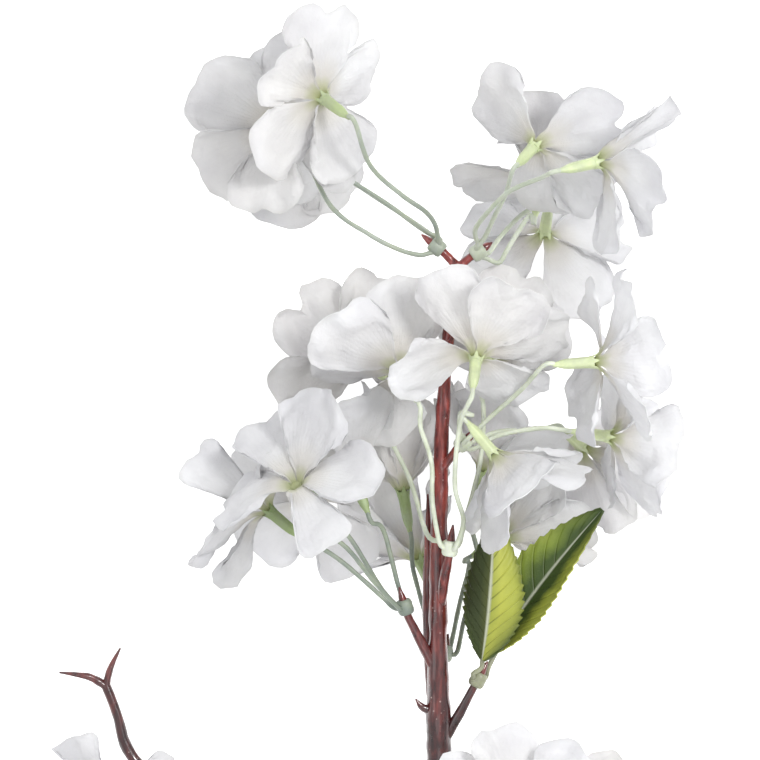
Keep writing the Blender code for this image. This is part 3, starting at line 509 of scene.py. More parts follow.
def collar_shape(shape, cluster):
    """Ring round the twig's end, with rounded edges."""
    edge = [(COLLAR_LENGTH / 2 - back, radius) for back, radius in COLLAR_EDGE]
    start = [(-run, radius) for run, radius in reversed(edge)]
    profile = [*start, (0.0, COLLAR_RADIUS * COLLAR_WAIST), *edge]
    rings = straight_rings(Vector(cluster.collar), direction(cluster.along), profile)
    shape.add(*tube(rings, sides=28, bumps=0.04))


def whorl(key, cluster, material):
    """One whorl: its collar, its stalks and their calyx tubes."""
    shape = Shape()
    collar_shape(shape, cluster)
    for number, bloom in enumerate(cluster.blooms):
        facing = direction(bloom.facing)
        mouth = Vector(bloom.mouth)
        route = [(*point, STALK_RADIUS) for point in bloom_route(cluster, bloom)]
        rings = path_rings(smooth_path(route, count=44))[:-1]
        shape.add(*tube(rings, sides=14, bumps=0.12, seed=number * 7.0))
        outside = [(CALYX_LENGTH * part, radius) for part, radius in CALYX_OUTSIDE]
        calyx = straight_rings(mouth - facing * CALYX_LENGTH, facing, outside)
        calyx += straight_rings(mouth, facing, [(0.1, 1.5), (-CALYX_DEPTH, CALYX_BORE)])
        points, faces, uvs = tube(calyx, sides=30, bumps=0.03, ribs=5, rib_depth=0.055, seed=number * 3.0)
        shape.add(points, faces, [(u + CALYX_MARK, v) for u, v in uvs])
        sepals(shape, mouth, facing, number)
    # The texture place carries the whorl's step of painted shade for its stalks and calyxes
    painted_stalk_shade = STALK_PAINTED_SHADE_STEP * PAINTED_STALK_SHADES.get(key, 1)
    shape.uvs = [(u, v + painted_stalk_shade) for u, v in shape.uvs]
    return shape.make(f"green_whorl_{key}", material, f"whorl_{key}")


def sepals(shape, mouth, facing, number):
    """Five small pointed sepals round the calyx's mouth, half open."""
    side = facing.orthogonal().normalized()
    other = facing.cross(side)
    faces = sheet_faces(SEPAL_ROWS + 1, SEPAL_COLUMNS + 1)
    for sepal in range(PETALS):
        angle = tau * (sepal + 0.5 + number * 0.13) / PETALS
        out = side * cos(angle) + other * sin(angle)
        round_way = facing.cross(out)
        points = []
        for offset in (-SEPAL_THICKNESS / 2, SEPAL_THICKNESS / 2):
            for row in range(SEPAL_ROWS + 1):
                part = row / SEPAL_ROWS
                reach = SEPAL_FOOT + SEPAL_OPENING * part * part
                for place in side_places(SEPAL_COLUMNS):
                    lateral = place * SEPAL_HALF_WIDTH * (1.0 - part) ** 0.7
                    middle = mouth + out * (reach - 0.22 * lateral * lateral + offset)
                    points.append(middle + facing * (SEPAL_LENGTH * part - SEPAL_LAP) + round_way * lateral)
        shape.add(points, faces, [(CALYX_MARK, 0.5)] * len(points))


Petal = namedtuple("Petal", "turn tilt notch widest before after length cup twist curl wave phase")


def bloom_frame(bloom):
    """Matrix whose Z is the way the bloom faces, at the height of the corolla's ring, in millimetres."""
    axis = direction(bloom.facing)
    side = Vector((0.0, 0.0, 1.0)).cross(axis)
    side = side.normalized() if side.length > 0.05 else Vector((1.0, 0.0, 0.0))
    up = axis.cross(side)
    frame = Matrix((side, up, axis)).transposed().to_4x4()
    frame.translation = Vector(bloom.mouth) + axis * CALYX_DROP
    return frame


def bloom_petals(bloom, seed):
    """Works out five petals round the bloom from the listed ways, and fills the widest gaps."""
    draw = random.Random(seed).uniform

    def free(turn, tilt):
        return turn, tilt, draw(0.0, DEEPEST_NOTCH), MAX_HALF_SECTOR, 1.0

    inverse = bloom_frame(bloom).to_3x3().transposed()
    known = []
    for turn, lift, *more in bloom.petals:
        local = inverse @ direction((turn, lift))
        tilt = degrees(asin(max(-1.0, min(1.0, local.z))))
        depth = more[0] if more else draw(0.0, DEEPEST_NOTCH)
        widest = more[1] if len(more) > 1 else MAX_HALF_SECTOR
        known.append((degrees(atan2(local.y, local.x)) % 360.0, tilt, depth, widest, FRONT_SHARE))
    if not known:
        known.append(free(draw(0.0, 72.0), bloom.tilt))
    known.sort()
    while len(known) < PETALS:
        gaps = [(known[(n + 1) % len(known)][0] - known[n][0]) % 360.0 or 360.0 for n in range(len(known))]
        far = [(FAR_SIDE - known[n][0]) % 360.0 < gaps[n] for n in range(len(known))]
        largest = max(range(len(known)), key=lambda n: gaps[n] + FAR_SIDE_FIRST * far[n])
        fill = min(PETALS - len(known), max(1, round(gaps[largest] / MIN_SPACING) - 1))
        for number in range(fill):
            turn = known[largest][0] + gaps[largest] * (number + 1) / (fill + 1)
            known.append(free(turn % 360.0, bloom.tilt + draw(-8.0, 10.0)))
        known.sort()
    for _ in range(SPREAD_ROUNDS):
        for number in range(PETALS):
            one, two = known[number], known[(number + 1) % PETALS]
            lack = MIN_SPACING - (two[0] - one[0]) % 360.0
            if lack > 0.0:
                known[number] = (one[0] - lack / 2, *one[1:])
                known[(number + 1) % PETALS] = (two[0] + lack / 2, *two[1:])
    petals = []
    for number, (turn, tilt, notch, widest, share) in enumerate(known):
        last = known[number - 1]
        following = known[(number + 1) % PETALS]
        before = (turn - last[0]) % 360.0 * share / (share + last[4])
        after = (following[0] - turn) % 360.0 * share / (share + following[4])
        petals.append(Petal(
            turn, max(MIN_TILT, min(MAX_TILT, tilt)), notch, widest, before, after,
            length=PETAL_LENGTH * draw(0.96, 1.06), cup=draw(-0.1, 0.4),
            twist=draw(-0.1, 0.1), curl=draw(-24.0, 10.0),
            wave=draw(0.4, 1.1), phase=draw(0.0, FULL_TURN),
        ))
    return petals


def petal_profile(petal):
    """Distance from the axis and height along the petal's middle line, at even steps of its length."""
    distance = RING_RADIUS
    height = 0.0
    profile = [(distance, height, radians(THROAT_SLOPE))]
    for step in range(PROFILE_STEPS):
        part = (step + 0.5) / PROFILE_STEPS
        slope = petal.tilt + (THROAT_SLOPE - petal.tilt) * exp(-part / THROAT_FADE)
        slope = radians(slope + petal.curl * part * part)
        distance += cos(slope) * petal.length / PROFILE_STEPS
        height += sin(slope) * petal.length / PROFILE_STEPS
        profile.append((distance, height, slope))
    return profile


def bend_trials(petal):
    """The petal bent up and down by growing steps: as it is, then smooth, then smooth and narrow."""
    smooth = petal._replace(cup=0.1, twist=0.0, wave=0.0)
    narrow = smooth._replace(widest=min(petal.widest, NARROW_HALF))
    trials = []
    for form in (petal, smooth, narrow):
        trials += [form._replace(tilt=form.tilt + bend) for bend in [0.0, *BENDS]]
    return [trial for trial in trials if MIN_TILT <= trial.tilt <= MAX_TILT]


class Cloth:
    """What one cloth petal has besides its form: which edges lie over its neighbours, ruffles and wear."""

    def __init__(self, petal, before, after, seed):
        draw = random.Random(seed).uniform

        def wave(small, large, slow, fast):
            return draw(small, large), draw(slow, fast), draw(0.0, FULL_TURN)

        self.over_after = 1.0 if petal.tilt >= after.tilt else -1.0
        self.over_before = 1.0 if petal.tilt > before.tilt else -1.0
        spare = max(0.25, min(1.0, petal.widest / MAX_HALF_SECTOR))
        self.wide = 1.0 + (OVERLAP - 1.0) * spare
        self.widest = WIDEST_HALF if petal.widest == MAX_HALF_SECTOR else petal.widest * OVERLAP
        self.ruffles = [wave(0.5, 1.3, 4.0, 6.5), wave(0.4, 0.9, 9.0, 14.0)]
        self.creases = [wave(0.1, 0.3, 5.0, 8.0), wave(0.05, 0.12, 11.0, 16.0)]
        self.outline = [wave(0.012, 0.03, 5.0, 9.0), wave(0.006, 0.014, 14.0, 22.0)]
        self.roll = draw(-2.2, 1.6)
        self.offset = Vector((draw(0.0, 90.0), draw(0.0, 90.0), 0.0))


def petal_point(petal, profile, u, v, cloth=None):
    """Point of the petal's middle surface: u runs from ring to edge, v from one side to the other.

    Without a cloth it is the part's own plain surface, which stays in its sector."""
    fan = radians(PETAL_FAN) * v * (0.8 + 0.2 * v * v)
    if cloth:
        reach = 1.05 - CLOTH_SHOULDER * v * v
        reach -= petal.notch * max(0.0, 1.0 - abs(v - 0.04) / NOTCH_HALF_WIDTH) ** 1.3
        for size, pace, phase in cloth.outline:
            reach += size * sin(pace * v + phase)
    else:
        reach = 1.0 - PETAL_SHOULDER * v * v - petal.notch * max(0.0, 1.0 - abs(v) / 0.48) ** 1.6
    along = u * reach * cos(fan * 0.92)
    lateral = u * (1.5 - 0.5 * u) * reach * sin(fan) * petal.length
    place = min(along, 1.0) * (len(profile) - 1)
    low = min(int(place), len(profile) - 2)
    part = place - low
    distance, height, slope = (a + (b - a) * part for a, b in zip(profile[low], profile[low + 1]))
    half = petal.after if v > 0 else petal.before
    spread = degrees(atan2(abs(lateral), distance))
    limit = min(max(half - degrees(EDGE_GAP / distance), half * 0.5), MAX_HALF_SECTOR)
    if cloth:
        open_share = smoothstep(0.1, 0.42, u)
        limit = limit * (1.0 - open_share) + min(half * cloth.wide, cloth.widest) * open_share
    spread = spread / (1.0 + (spread / limit) ** 8) ** 0.125
    lateral = copysign(min(abs(lateral), distance * tan(radians(spread))), v)
    offset = petal.cup * lateral * lateral / petal.length + petal.twist * lateral * u
    offset += petal.wave * u * u * sin(3.4 * v + petal.phase)
    if cloth:
        side = cloth.over_after if v > 0 else cloth.over_before
        offset += OVERLAP_LIFT * side * abs(v) ** 1.6 * smoothstep(0.1, 0.5, u)
        for size, pace, phase in cloth.ruffles:
            offset += size * u ** 3 * sin(pace * v + phase + 1.5 * u)
        for size, pace, phase in cloth.creases:
            offset += size * 4.0 * u * (1.0 - u) * sin(pace * v + phase)
        offset += cloth.roll * max(0.0, u - 0.72) ** 2 * 6.0
        spot = Vector((u * 3.4, v * u * 2.4, 0.0)) + cloth.offset
        offset += 2.6 * u * noise.noise(spot) + 1.1 * u * noise.noise(spot * 2.6)
    distance = max(distance - sin(slope) * offset, 0.6 * RING_RADIUS)
    height += cos(slope) * offset
    spread = degrees(atan2(abs(lateral), distance))
    open_part = smoothstep(0.0, 0.3, u)
    turn = abs(v) * half * (1.0 - open_part) + min(spread, limit) * open_part
    angle = radians(petal.turn + copysign(turn, v))
    radius = hypot(distance, lateral)
    return Vector((radius * cos(angle), radius * sin(angle), height))


def fitted_petals(bloom, seed, node):
    """The bloom's petals with the bends that the part gave them to clear their neighbours.

    Each bend is found by comparing the plain petal with the node's solid."""
    inverse = bloom_frame(bloom).inverted()
    points = [inverse @ (vertex.co / MM + SHIFT) for vertex in node.data.vertices]
    tree = BVHTree.FromPolygons(points, [tuple(face.vertices) for face in node.data.polygons])
    fitted = []
    for petal in bloom_petals(bloom, seed):
        best = None
        for trial in bend_trials(petal):
            profile = petal_profile(trial)
            cost = 0.0
            for u in (0.7, 1.0):
                for v in (-1.0, -0.5, 0.0, 0.5, 1.0):
                    near = tree.find_nearest(petal_point(trial, profile, u, v))
                    cost += abs(near[3] - PETAL_THICKNESS / 2)
            if best is None or cost < best[0] - 0.01:
                best = (cost, trial)
        fitted.append(best[1])
    return fitted


def corolla(name, painted_shade, bloom, node, material):
    """Five cloth petals and the neck, as one object."""
    frame = bloom_frame(bloom)
    petals = fitted_petals(bloom, name, node)
    shape = Shape()
    for number, petal in enumerate(petals):
        cloth = Cloth(petal, petals[number - 1], petals[(number + 1) % PETALS], f"{name}{number}")
        profile = petal_profile(petal)
        middle = []
        for row in range(PETAL_ROWS + 1):
            u = (row / PETAL_ROWS) ** 0.9
            middle.append([petal_point(petal, profile, u, v, cloth) for v in side_places(PETAL_COLUMNS)])
        sheet(shape, frame, middle, CLOTH_THICKNESS, number)
    neck = straight_rings(frame.translation, direction(bloom.facing), NECK_PROFILE)
    points, faces, uvs = tube(neck, sides=20)
    shape.add(points, faces, [(0.5, 0.01)] * len(uvs))
    # The texture place carries the bloom's step of painted shade
    shape.uvs = [(u, v + BLOOM_PAINTED_SHADE_STEP * painted_shade) for u, v in shape.uvs]
    return shape.make(f"cloth_{name}", material, f"corolla_{name}")


def sheet_faces(rows, columns):
    """Faces of a closed sheet: a grid of points in rows, the same grid again below it, and the edge."""
    count = rows * columns
    faces = []
    for i in range(rows - 1):
        for j in range(columns - 1):
            a = i * columns + j
            faces.append((a, a + columns, a + columns + 1, a + 1))
            faces.append((count + a, count + a + 1, count + a + columns + 1, count + a + columns))
    border = [*range(columns), *(i * columns + columns - 1 for i in range(1, rows))]
    border += [(rows - 1) * columns + j for j in range(columns - 2, -1, -1)]
    border += [i * columns for i in range(rows - 2, 0, -1)]
    for one, two in zip(border, border[1:] + border[:1]):
        faces.append((one, two, count + two, count + one))
    return faces


def sheet(shape, frame, middle, thickness, number):
    """Closed thin sheet over a grid of points, kept above the table."""
    rows, columns = len(middle), len(middle[0])
    upper = []
    lower = []
    uvs = []
    for i in range(rows):
        for j in range(columns):
            along = middle[min(i + 1, rows - 1)][j] - middle[max(i - 1, 0)][j]
            # The first row takes its side way from the second
            beside = middle[max(i, 1)]
            side = beside[min(j + 1, columns - 1)] - beside[max(j - 1, 0)]
            normal = along.cross(side).normalized() * (thickness / 2)
            pair = [frame @ (middle[i][j] + normal), frame @ (middle[i][j] - normal)]
            low, high = sorted(pair, key=lambda point: point.z)
            rest = TABLE_GAP + number * (thickness + TABLE_GAP)
            low.z = max(low.z, rest)
            high.z = max(high.z, rest + thickness)
            upper.append(pair[0])
            lower.append(pair[1])
            uvs.append((2.0 * number + j / (columns - 1), i / (rows - 1)))
    shape.add(upper + lower, sheet_faces(rows, columns), uvs + uvs)


def leaf_point(leaf, u, v):
    """Point of a leaf's middle surface and its upward way: u from base to tip, v from side to side."""
    base, middle, tip = (Vector(point) for point in (leaf.base, leaf.middle, leaf.tip))
    control = middle * 2.0 - (base + tip) / 2
    centre = base * (1 - u) ** 2 + control * 2 * u * (1 - u) + tip * u * u
    along = ((control - base) * (1 - u) + (tip - control) * u).normalized()
    up = direction(leaf.up)
    up = (up - along * up.dot(along)).normalized()
    side = along.cross(up)
    half = leaf.width * sin(pi * min(1.0, u ** 0.85 * 0.985 + 0.01)) ** 0.8 + 0.3
    tooth = (u * LEAF_FINE_TEETH + 0.13 * v) % 1.0
    half *= 1.02 - 0.11 * (1.0 - tooth ** 1.4) * smoothstep(0.75, 1.0, abs(v))
    fold = radians(leaf.fold_right if v > 0 else leaf.fold_left)
    bend = fold * (1.0 + 0.5 * abs(v))
    out = side * copysign(cos(bend), v) + up * sin(bend)
    ripple = 0.8 * sin(9.0 * u + (2.0 if v > 0 else 0.0)) * v * v
    ripple += 0.22 * sin(tau * (u * LEAF_RIBS - LEAF_RIB_SLANT * abs(v))) * abs(v)
    ripple += 0.45 * noise.noise(Vector((u * 6.0, v * 2.0, leaf.width))) * abs(v)
    return centre + out * (half * abs(v)) + up * ripple, up


def leaf_blade(name, leaf, number, material):
    """One printed leaf."""
    shape = Shape()
    middle = [
        [leaf_point(leaf, row / LEAF_ROWS, v)[0] for v in side_places(LEAF_COLUMNS)]
        for row in range(LEAF_ROWS + 1)
    ]
    sheet(shape, Matrix.Identity(4), middle, LEAF_CLOTH_THICKNESS, number)
    return shape.make(f"printed_{name}", material, name)


def leaf_carrier(cluster, leaves, material):
    """The leaves' collar with its two stalks, which run on as the leaves' midribs."""
    shape = Shape()
    collar_shape(shape, cluster)
    drop = LEAF_THICKNESS / 2 + GAP + RIB_RADIUS
    for number, leaf in enumerate(leaves):
        collar = Vector(cluster.collar)
        via = [Vector((*point, (collar.z + leaf.base[2]) / 2 - 0.6)) for point in leaf.route]
        path = [(*point, RIB_RADIUS) for point in [*stalk_start(cluster, via[0]), *via]]
        for u in (0.0, 0.25, 0.5, 0.75, 0.92):
            point, up = leaf_point(leaf, u, 0.0)
            radius = RIB_RADIUS * (1.0 - 0.6 * u)
            path.append((*(point - up * (drop - 0.35 + 0.25 * u)), radius))
        shape.add(*tube(path_rings(smooth_path(path, count=50)), sides=14, bumps=0.1, seed=number * 5.0))
    return shape.make("moulded_leaf_carrier", material, "leaf_carrier")


def uneven(path, seed, size):
    """Sets swellings and thin places along a twig's path of (x, y, z, radius)."""
    result = []
    for number, (x, y, z, radius) in enumerate(path):
        wander = noise.noise(Vector((number * WANDER_PACE, seed, 0.0)))
        result.append([x, y, z, radius * (1.0 + size * wander)])
    return result


def main_stem(material):
    """The main stem with its twigs, spurs, wire bore and socket."""
    shape = Shape()
    rings = path_rings(uneven(smooth_path(STEM_PATH, count=150), seed=1.7, size=0.16))
    start, way, radius = rings[0]
    bore = [(9.0, 0.4), (8.0, WIRE_BORE), (0.0, WIRE_BORE), (0.0, radius * 0.93), (0.3, radius)]
    shape.add(*tube(straight_rings(start, way, bore) + rings[1:], sides=30, bumps=0.1))
    for number, name in enumerate(CLUSTERS):
        if name != "side":
            add_twig(shape, twig_path(CLUSTERS[name]), seed=number)
    add_twig(shape, twig_path(LEAF_COLLAR), seed=11)
    for number, spur in enumerate(SPURS):
        add_twig(shape, spur, seed=20 + number)
    socket = straight_rings(Vector(SIDE_ROOT), direction(SIDE_WAY), SOCKET_PROFILE)
    shape.add(*tube(socket, sides=30, bumps=0.03))
    return shape.make("moulded_main_stem", material, "main_stem")


def add_twig(shape, path, seed):
    """Adds a slightly uneven twig with a soft point."""
    points = uneven(smooth_path(path, count=34), seed * 3.1, size=0.1)
    shape.add(*tube(path_rings(tapered_end(points)), sides=18, bumps=0.1, seed=seed * 2.0))


def side_branch(material):
    """The side branch with its pin, its spurs and its whorl's twig."""
    shape = Shape()
    way = direction(SIDE_WAY)
    root = Vector(SIDE_ROOT)
    shoulder = SOCKET_LENGTH + GAP
    start = SOCKET_LENGTH - SOCKET_DEPTH + GAP
    rings = straight_rings(root, way, [(start, PIN_RADIUS), (shoulder - 0.01, PIN_RADIUS)])
    branch_start = root + way * shoulder
    path = [(*branch_start, BRANCH_RADIUS), (*(branch_start + way * 6.0), BRANCH_RADIUS), *SIDE_PATH]
    rings += path_rings(uneven(smooth_path(path, count=70), seed=5.3, size=0.14))
    shape.add(*tube(rings, sides=26, bumps=0.1))
    for number, spur in enumerate(SIDE_SPURS):
        add_twig(shape, spur, seed=30 + number)
    add_twig(shape, twig_path(CLUSTERS["side"]), seed=40)
    return shape.make("moulded_side_branch", material, "side_branch")


class Nodes:
    """Short way to build a material's node tree."""

    def __init__(self, name):
        self.material = bpy.data.materials.new(name)
        self.material.use_nodes = True
        self.tree = self.material.node_tree
        self.shader = self.tree.nodes["Principled BSDF"]
        coordinates = self.new("TexCoord")
        self.place = coordinates.outputs["Object"]
        self.u, self.v, _ = self.new("SeparateXYZ", {"Vector": coordinates.outputs["UV"]}).outputs

    def feed(self, socket, value):
        """Links another node's output to a socket, or sets the socket to a number or a colour."""
        if isinstance(value, bpy.types.NodeSocket):
            self.tree.links.new(value, socket)
        elif socket.type == "RGBA":
            socket.default_value = (*value, 1.0)
        else:
            socket.default_value = value

    def new(self, kind, values=None, **settings):
        node = self.tree.nodes.new("ShaderNode" + kind)
        for key, value in settings.items():
            setattr(node, key, value)
        for key, value in (values or {}).items():
            self.feed(node.inputs[key], value)
        return node

    def set(self, **values):
        """Feeds the shader's own sockets."""
        for key, value in values.items():
            self.feed(self.shader.inputs[key.replace("_", " ")], value)

    def math(self, operation, first, second=0.0):
        return self.new("Math", {0: first, 1: second}, operation=operation).outputs[0]

    plus = partialmethod(math, "ADD")
    minus = partialmethod(math, "SUBTRACT")
    times = partialmethod(math, "MULTIPLY")

    def swing(self, value, size):
        """A noise round nought, over a size."""
        return self.times(self.minus(value, 0.5), size)

    def fade(self, value, pace):
        """Falls from 1 at nought to 0 where the value times the pace is 1."""
        return self.minus(1.0, self.math("MINIMUM", self.times(value, pace), 1.0))

    def part_way(self, value, start, end):
        """0 at a start and 1 at an end."""
        return self.new("MapRange", {"Value": value, "From Min": start, "From Max": end}).outputs[0]

    def ramp(self, value, *stops):
        """Colours at places along a value, each a place and a colour or one grey."""
        node = self.new("ValToRGB", {"Fac": value})
        elements = node.color_ramp.elements
        while len(elements) < len(stops):
            elements.new(0.5)
        for element, (place, *colour) in zip(elements, stops):
            element.position = place
            element.color = (*(colour if len(colour) == 3 else colour * 3), 1.0)
        return node.outputs[0]

    def mix(self, factor, first, second, blend="MIX"):
        values = {0: factor, 6: first, 7: second}
        return self.new("Mix", values, data_type="RGBA", blend_type=blend).outputs[2]

    def noise(self, scale, detail, roughness=0.55, vector=None):
        values = {"Scale": scale, "Detail": detail, "Roughness": roughness, "Vector": vector or self.place}
        return self.new("TexNoise", values).outputs[0]

    def bump(self, height, strength, distance):
        values = {"Height": height, "Strength": strength, "Distance": distance}
        self.set(Normal=self.new("Bump", values).outputs[0])

    def see_through(self, colour, share):
        """Lets a share of the light through, as thin cloth does."""
        through = self.new("BsdfTranslucent", {"Color": colour}).outputs[0]
        both = self.new("MixShader", {0: share, 1: self.shader.outputs[0], 2: through})
        self.feed(self.tree.nodes["Material Output"].inputs["Surface"], both.outputs[0])


def cloth_material():
    """Thin white cloth that lets light through, a little green at the throat, with faint pressed veins and a
    painted shade that darkens some blooms.
    """
    n = Nodes("petal_cloth_look")
    across = n.math("ABSOLUTE", n.minus(n.math("FRACT", n.u), 0.5))
    blotch = n.noise(55.0, 4.0)
    # The second value runs from a step times the bloom's painted shade to one more
    painted_shade = n.math("FLOOR", n.math("DIVIDE", n.v, BLOOM_PAINTED_SHADE_STEP))
    run = n.minus(n.v, n.times(painted_shade, BLOOM_PAINTED_SHADE_STEP))
    base = n.ramp(n.plus(run, n.swing(blotch, 0.12)),
                  (0.0, 0.52, 0.57, 0.25), (0.06, 0.68, 0.69, 0.5), (0.16, 0.83, 0.81, 0.77),
                  (0.4, 0.868, 0.866, 0.868), (0.93, 0.888, 0.888, 0.895), (1.0, 0.84))
    base = n.mix(0.8, base, n.ramp(blotch, (0.3, 0.86, 0.855, 0.87), (0.65, 1.0)), "MULTIPLY")
    # Painted shade: each bloom's white is darkened by its own step
    base = n.mix(1.0, base, n.minus(1.0, n.times(painted_shade, BLOOM_PAINTED_SHADE_DEPTH)), "MULTIPLY")
    warm = n.ramp(n.noise(16.0, 2.0), (0.45, 1.0), (0.65, 1.0, 0.991, 0.975))
    base = n.mix(1.0, base, warm, "MULTIPLY")
    # This noise has no vector: it lies over the generated coordinates
    wander = n.new("TexNoise", {"Scale": 90.0, "Detail": 2.0, "Roughness": 0.55}).outputs[0]
    veins_at = n.plus(n.times(across, 62.0), n.times(wander, 3.0))
    veins = n.math("POWER", n.math("ABSOLUTE", n.math("SINE", veins_at)), 6.0)
    veins = n.times(veins, n.minus(1.0, run))
    base = n.mix(n.times(veins, 0.1), base, (0.66, 0.66, 0.6))
    height = n.plus(n.noise(190.0, 4.0), n.times(n.noise(2600.0, 2.0, 0.7), 0.12))
    n.bump(n.plus(height, n.times(veins, -0.14)), strength=0.6, distance=0.002)
    n.set(Base_Color=base, Roughness=0.78, Sheen_Weight=0.15, Specular_IOR_Level=0.25)
    n.see_through(base, share=0.42)
    return n.material


def green_material(name, pale, deep, calyx, deep_calyx, hollow):
    """Soft moulded plastic: stalks from pale to deep by a painted shade per whorl and a random mottle, green
    calyxes, and a mould grain.
    """
    n = Nodes(name)
    part = n.math("GREATER_THAN", n.u, CALYX_MARK - 0.5)
    # Painted shade: the whorl's step, with a random mottle, darkens stalks and calyxes towards the deep
    # colours
    painted_stalk_shade = n.times(n.math("ROUND", n.math("DIVIDE", n.v, STALK_PAINTED_SHADE_STEP)), 1.0 / DEEPEST_PAINTED_STALK_SHADE)
    blotch = n.noise(140.0, 4.0)
    fine = n.noise(900.0, 2.0)
    share = n.ramp(n.plus(painted_stalk_shade, n.swing(n.noise(38.0, 2.0), 0.9)), (0.0, 0.0), (1.0, 1.0))
    colour = n.mix(part, n.mix(share, pale, deep), n.mix(share, calyx, deep_calyx))
    colour = n.mix(n.ramp(blotch, (0.35, 0.5), (0.6, 0.0)), colour, hollow)
    grain = n.ramp(fine, (0.3, 0.8, 0.8, 0.75), (0.7, 1.0))
    n.bump(n.plus(n.times(blotch, 0.6), n.times(fine, 0.3)), strength=0.3, distance=0.0004)
    n.set(Base_Color=n.mix(0.35, colour, grain, "MULTIPLY"), Roughness=n.plus(0.34, n.times(fine, 0.18)),
          Subsurface_Weight=0.25, Subsurface_Radius=(0.0012, 0.0014, 0.0006))
    return n.material


def twig_material():
    """Glossy red-brown moulding: darker towards the cut end, streaked, with pale rubbed specks."""
    n = Nodes("twig_plastic_look")
    along = n.new("SeparateXYZ", {"Vector": n.place}).outputs[1]
    stretched = n.new("Mapping", {"Vector": n.place, "Scale": (1.0, 0.22, 1.0)}).outputs[0]
    streak = n.noise(520.0, 5.0, 0.62, stretched)
    patch = n.noise(75.0, 4.0)
    upper = n.ramp(streak, (0.34, 0.06, 0.004, 0.004), (0.5, 0.17, 0.015, 0.011), (0.68, 0.34, 0.05, 0.033))
    lower = n.ramp(streak, (0.34, 0.01, 0.002, 0.002), (0.52, 0.034, 0.005, 0.005), (0.7, 0.1, 0.016, 0.014))
    height = n.plus(along, n.swing(patch, 0.05))
    colour = n.mix(n.part_way(height, DARK_BELOW, BRIGHT_ABOVE), lower, upper)
    specks = n.new("TexVoronoi", {"Vector": n.place, "Scale": 620.0})
    speck = n.ramp(specks.outputs["Distance"], (0.12, 1.0), (0.2, 0.0))
    rubbed = n.times(speck, n.ramp(patch, (0.5, 0.0), (0.66, 0.55)))
    n.bump(n.plus(streak, n.times(patch, 0.8)), strength=0.28, distance=0.0005)
    n.set(Base_Color=n.mix(rubbed, colour, (0.62, 0.46, 0.42)), Roughness=n.plus(0.17, n.times(streak, 0.28)),
          Coat_Weight=0.75, Coat_Roughness=0.08)
    return n.material


def leaf_material():
    """Printed cloth: yellow-green in the middle, dark green elsewhere, with pale ribs; on the first leaf
    painted light makes the right half yellow-green and painted shade makes the left half dark green.
    """
    n = Nodes("leaf_cloth_look")
    # A leaf's texture place runs from twice its number to one more: first its left half, then its right
    side = n.times(n.minus(n.math("MODULO", n.u, 2.0), 0.5), 2.0)
    across = n.math("ABSOLUTE", side)
    shift = n.swing(n.noise(110.0, 4.0), 0.35)
    edge = n.plus(across, shift)
    # First leaf: a left half darkened as painted shade and a right half brightened as painted light, which
    # darkens at its edge and base
    painted_lit_half = n.ramp(edge, (0.0, 0.3, 0.33, 0.04), (0.3, 0.42, 0.44, 0.055), (0.7, 0.36, 0.39, 0.05),
                    (1.0, 0.17, 0.2, 0.022))
    painted_shaded_half = n.ramp(edge, (0.0, 0.07, 0.085, 0.012), (0.3, 0.03, 0.045, 0.007), (0.8, 0.024, 0.036, 0.006),
                  (1.0, 0.06, 0.085, 0.014))
    first = n.mix(n.part_way(side, -0.04, 0.05), painted_shaded_half, painted_lit_half)
    low = n.part_way(n.plus(n.v, n.times(shift, 0.5)), 0.42, 0.05)
    first = n.mix(n.times(n.times(low, across), 1.3), first, (0.045, 0.07, 0.009))
    # Second leaf: a deep green middle, yellow-green towards both edges, and a dark tip
    second = n.ramp(n.plus(n.times(side, -0.5), n.plus(shift, 0.5)),
                    (0.0, 0.42, 0.46, 0.08), (0.2, 0.34, 0.38, 0.05), (0.36, 0.04, 0.07, 0.01),
                    (0.6, 0.05, 0.09, 0.012), (0.8, 0.2, 0.27, 0.03), (1.0, 0.28, 0.34, 0.05))
    second = n.mix(n.part_way(n.v, 0.72, 1.0), second, (0.04, 0.07, 0.014))
    colour = n.mix(n.math("GREATER_THAN", n.u, 3.0), first, second)
    rib_run = n.minus(n.times(n.v, LEAF_RIBS), n.times(across, LEAF_RIB_SLANT))
    rib = n.fade(n.math("ABSOLUTE", n.math("SINE", n.times(rib_run, pi))), 3.2)
    colour = n.mix(n.times(n.times(rib, n.fade(edge, 2.0)), 0.75), colour, (0.05, 0.07, 0.01))
    middle = n.fade(across, 15.0)
    colour = n.mix(n.times(middle, 0.85), colour, (0.6, 0.62, 0.5))
    fine = n.noise(1500.0, 2.0)
    height = n.plus(n.times(n.math("MAXIMUM", rib, middle), -0.7), n.times(fine, 0.25))
    n.bump(height, strength=0.5, distance=0.0005)
    n.set(Base_Color=colour, Roughness=n.plus(0.42, n.times(fine, 0.2)))
    n.see_through(colour, share=0.15)
    return n.material


def wire_material():
    """Drawn steel with fine scratches."""
    n = Nodes("wire_steel_look")
    scratch = n.noise(800.0, 4.0)
    n.set(Base_Color=n.ramp(scratch, (0.3, 0.36, 0.35, 0.34), (0.7, 0.62, 0.61, 0.6)),
          Roughness=n.plus(0.25, n.times(scratch, 0.3)), Metallic=1.0)
    return n.material


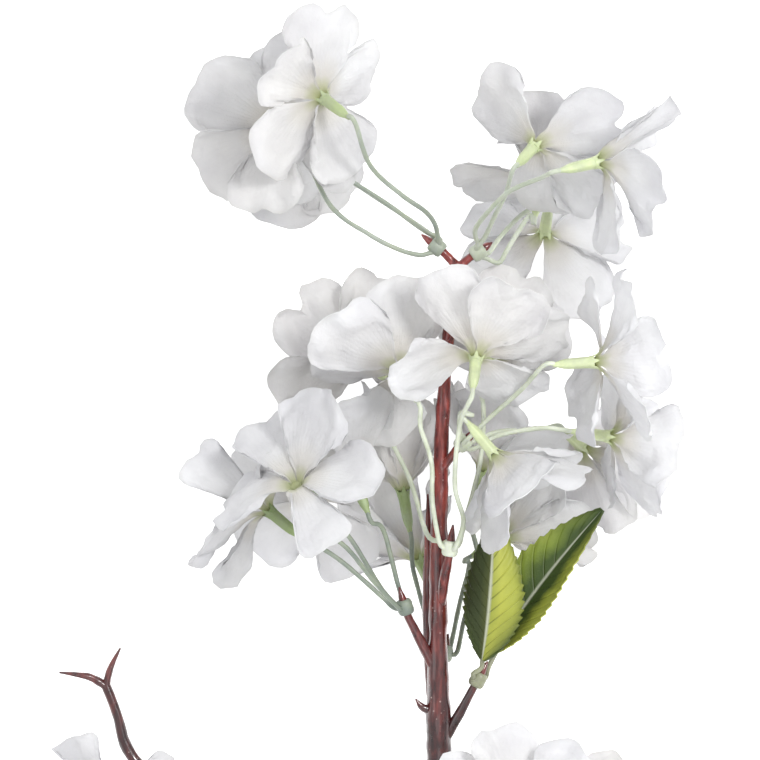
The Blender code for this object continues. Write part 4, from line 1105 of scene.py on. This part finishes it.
def stage():
    """Pale floor, soft lights and the camera, which looks straight down like the photo."""
    n = Nodes("floor_look")
    n.set(Base_Color=n.ramp(n.noise(6.0, 3.0), (0.3, 0.90), (0.7, 0.93)), Roughness=0.9,
          Emission_Color=(1.0, 1.0, 1.0), Emission_Strength=FLOOR_GLOW)
    mesh = bpy.data.meshes.new("floor")
    corners = ((-1, -1), (1, -1), (1, 1), (-1, 1))
    mesh.from_pydata([(x * FLOOR_HALF, y * FLOOR_HALF, FLOOR_HEIGHT) for x, y in corners], [], [(0, 1, 2, 3)])
    mesh.materials.append(n.material)
    floor = put("floor", mesh)
    target = Vector((-CENTRE_X * MM, -CENTRE_Y * MM, AIM_HEIGHT))
    for name, place, size, power in LAMPS:
        data = bpy.data.lights.new(name, "AREA")
        data.energy = power
        data.size = size
        lamp = put(name, data)
        lamp.location = target + Vector(place)
        lamp.rotation_euler = (target - lamp.location).to_track_quat("-Z", "Y").to_euler()
    scene = bpy.context.scene
    scene.world = bpy.data.worlds.new("studio")
    scene.world.use_nodes = True
    background = scene.world.node_tree.nodes["Background"]
    background.inputs[0].default_value = (0.97, 0.98, 1.0, 1.0)
    background.inputs[1].default_value = WORLD_LIGHT
    data = bpy.data.cameras.new("camera")
    data.sensor_width = SENSOR_WIDTH
    data.lens = SENSOR_WIDTH * CAMERA_HEIGHT / VIEW_WIDTH
    camera = put("camera", data)
    camera.location = (-CENTRE_X * MM, -CENTRE_Y * MM, FOCUS_HEIGHT + CAMERA_HEIGHT)
    scene.camera = camera
    scene.view_settings.view_transform = "Standard"
    scene.view_settings.look = "None"
    scene.view_settings.exposure = 0.0


def build(frame):
    """Makes every fine piece in its node's place."""
    cloth = cloth_material()
    bark = twig_material()
    # The calyx look's deep colours are painted shade for the darker whorls, mixed with a random mottle
    calyx = green_material("calyx_plastic_look", (0.66, 0.70, 0.58), (0.19, 0.225, 0.19), (0.64, 0.71, 0.42),
                           (0.26, 0.34, 0.14), (0.34, 0.38, 0.27))
    pale, deep = (0.3, 0.31, 0.21), (0.2, 0.2, 0.12)
    rib = green_material("leaf_stalk_plastic_look", pale, deep, pale, deep, (0.08, 0.08, 0.04))
    leaf_cloth = leaf_material()
    main_stem(bark)
    side_branch(bark)
    wire = frame["nodes"]["core_wire"]
    wire.data.materials.clear()
    wire.data.materials.append(wire_material())
    for key, cluster in CLUSTERS.items():
        whorl(key, cluster, calyx)
        for number, (bloom, painted_shade) in enumerate(zip(cluster.blooms, PAINTED_BLOOM_SHADES[key]), 1):
            corolla(f"{key}_{number}", painted_shade, bloom, frame["nodes"][f"corolla_{key}_{number}"], cloth)
    leaf_carrier(LEAF_COLLAR, LEAVES, rib)
    for number, leaf in enumerate(LEAVES, 1):
        leaf_blade(f"leaf_{number}", leaf, number, leaf_cloth)


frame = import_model()
build(frame)
stage()
